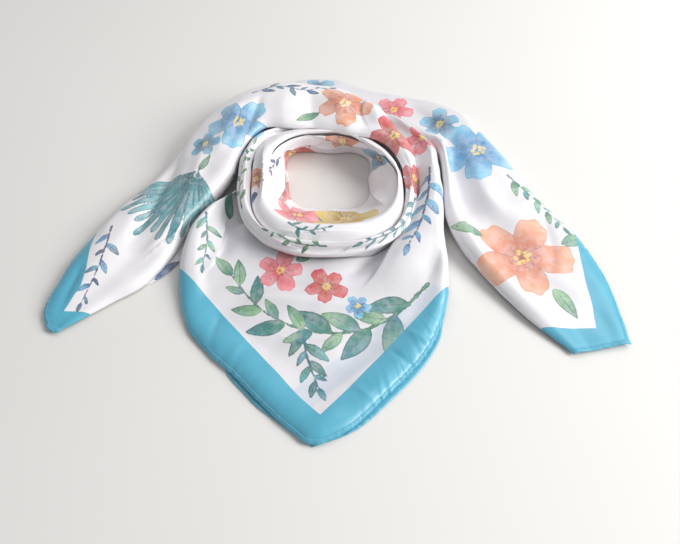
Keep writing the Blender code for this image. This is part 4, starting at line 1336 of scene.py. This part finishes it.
def print_inner(p):
    """The print of the loop's inner wall, from the right round the back; across from its foot."""
    p.flower(84, 34, 20, 30, PEACH, RUST)
    p.flower(262, 46, 30, 15, PINK, CORAL)
    p.leaf(284, 40, 34, 14, 20, 0.1, GREEN, LIME)
    p.flower(312, 48, 33, 40, YELLOW, OCHRE)
    p.within(LEFT_BAND + [(136, 1.1), (218, 1.1)])
    p.spray([(166, 30), (182, 44), (196, 56)], 2.0, NAVY, 6, 16, 48, [BLUE, NAVY])
    p.within(LEFT_BAND[:-1] + BACK_FACET[1:] + [(95, -0.1), (218, -0.1)])
    p.flower(216, 14, 30, 0, CORAL, RUST)
    p.leaf(180, 12, 26, 11, 10, 0.1, CORAL, RUST)
    p.flower(146, 8, 34, 30, CORAL, RUST)
    p.within(RIGHT_FACET + [(3, -0.1), (60, -0.1), (60, 1.1), (22, 1.1)])
    p.flower(30, 30, 27, 0, SKY, NAVY)


def print_lower_tail(p):
    """The print of the layer under the left tail."""
    p.leaf(-168, -10, 36, 16, 222, 0, NAVY, BLUE)


PRINTS = {
    "upper_stretch": print_over,
    "lower_stretch": print_below,
    "front_bib": print_bib,
    "second_coil": print_second,
    "inner_wall": print_inner,
    "left_tail_lower_edge": print_lower_tail,
}


def complete(cloth):
    """Gives a cloth its border, folds and print, and shows it."""
    name = cloth.name
    if name in INSIDE:
        cloth.inside = cloth.away(INSIDE[name])
    for row in PUCKERS.get(name, []):
        cloth.pucker(*row)
    cloth.fold()
    if name in RIPPLE:
        cloth.ripple(*RIPPLE[name])
    cloth.settle()
    cloth.print = Print(cloth)
    if name in PRINTS:
        PRINTS[name](cloth.print)
    show(cloth)


def build():
    """The scarf's stretches, then the lower layers that show, then the layers that nothing shows."""
    bib = bib_cloth("front_bib", sections_left=150, sections_right=210, count=90)
    bib.over_border = bib.away(UNDER_BORDER)
    lower = edge_cloth("bib_lower_edge", UNDER_BIB, sections=220, count=16, corner=UNDER_BIB_CORNER)
    lower.inside[:] = -FAR
    cloths = [
        stretch_cloth("upper_stretch", over_rows(), sections=640, count=66),
        stretch_cloth("lower_stretch", BELOW, sections=330, count=66),
        bib,
        loop_cloth("second_coil", SECOND_LINES, sections=360, count=40),
        loop_cloth("inner_wall", INNER_LINES, sections=460, count=66),
        lower,
        edge_cloth("left_tail_lower_edge", UNDER_TAIL, sections=90, count=10),
    ]
    for cloth in cloths:
        complete(cloth)
    named = {cloth.name: cloth for cloth in cloths}
    for name, (above, *row) in HIDDEN.items():
        hidden(name, named[above], *row)
    hidden_ring("loop_inner_layers", "loop_hidden_layers")


# ---------------------------------------------------------------- camera, floor and light

# Places and sizes here are in metres, in the frame's own coordinates
CAMERA_TARGET = (0.0072, -0.0562, 0.0)
CAMERA_AWAY = 0.8009
CAMERA_TILT = 52           # degrees below the level
LENS = 40                  # millimetres, as is the sensor's width
SENSOR_WIDTH = 36
FARTHEST = 50
FLOOR_HALF = 6.0           # half its side
TABLE_COLOURS = ((0.90, 0.893, 0.880), (0.91, 0.903, 0.892))
SKY_COLOUR = (0.97, 0.98, 1.0, 1)
SKY_STRENGTH = 0.43
# name: place, target, width, height, power, colour
LIGHTS = {
    "key": ((1.8, -0.35, 1.2), (0.0, 0.0, 0.0), 1.2, 1.2, 45.0, (1.0, 0.99, 0.97)),
    "window": ((-0.5, 1.6, 1.3), (0.0, 0.0, 0.0), 1.6, 0.7, 2.0, (1.0, 1.0, 1.0)),
    "back": ((0.9, 0.75, 1.5), (0.1, 0.0, 0.0), 0.9, 0.9, 8.0, (1.0, 0.99, 0.98)),
}


def look_at(thing, target):
    """Turns a camera or light from its place towards a target."""
    x, y, z = np.array(target) - np.array(thing.location)
    thing.rotation_euler = (math.atan2(math.hypot(x, y), -z), 0, math.atan2(y, x) - math.pi / 2)


def add_camera():
    camera = add_object("camera", bpy.data.cameras.new("camera"))
    camera.data.lens = LENS
    camera.data.sensor_width = SENSOR_WIDTH
    camera.data.clip_end = FARTHEST
    tilt = math.radians(CAMERA_TILT)
    back = np.array((0, -math.cos(tilt), math.sin(tilt)))
    camera.location = np.array(CAMERA_TARGET) + CAMERA_AWAY * back
    look_at(camera, CAMERA_TARGET)
    bpy.context.scene.camera = camera


def add_floor():
    n = Nodes("table")
    mottled = n.noise(n.node("TexCoord", output=3), 1.6, 2.0)
    shades = [rgba(colour) for colour in TABLE_COLOURS]
    colour = n.mix(n.ramp(mottled, 0.3, 0.7), *shades)
    table = n.surface({"Base Color": colour, "Roughness": 0.9, "Specular IOR Level": 0.1})
    mesh = bpy.data.meshes.new("floor")
    corners = [(x * FLOOR_HALF, y * FLOOR_HALF, 0) for x, y in ((-1, -1), (1, -1), (1, 1), (-1, 1))]
    mesh.from_pydata(corners, [], [(0, 1, 2, 3)])
    mesh.materials.append(table)
    floor = add_object("floor", mesh)


def add_light():
    world = bpy.data.worlds.new("studio")
    bpy.context.scene.world = world
    world.use_nodes = True
    sky = world.node_tree.nodes["Background"].inputs
    sky["Color"].default_value = SKY_COLOUR
    sky["Strength"].default_value = SKY_STRENGTH
    for name, (spot, target, width, height, power, colour) in LIGHTS.items():
        light = bpy.data.lights.new(name, "AREA")
        light.shape = "RECTANGLE"
        light.size = width
        light.size_y = height
        light.energy = power
        light.color = colour
        made = add_object(name, light)
        made.location = spot
        look_at(made, target)


build()
add_camera()
add_floor()
add_light()
bpy.context.scene.view_settings.view_transform = "Standard"
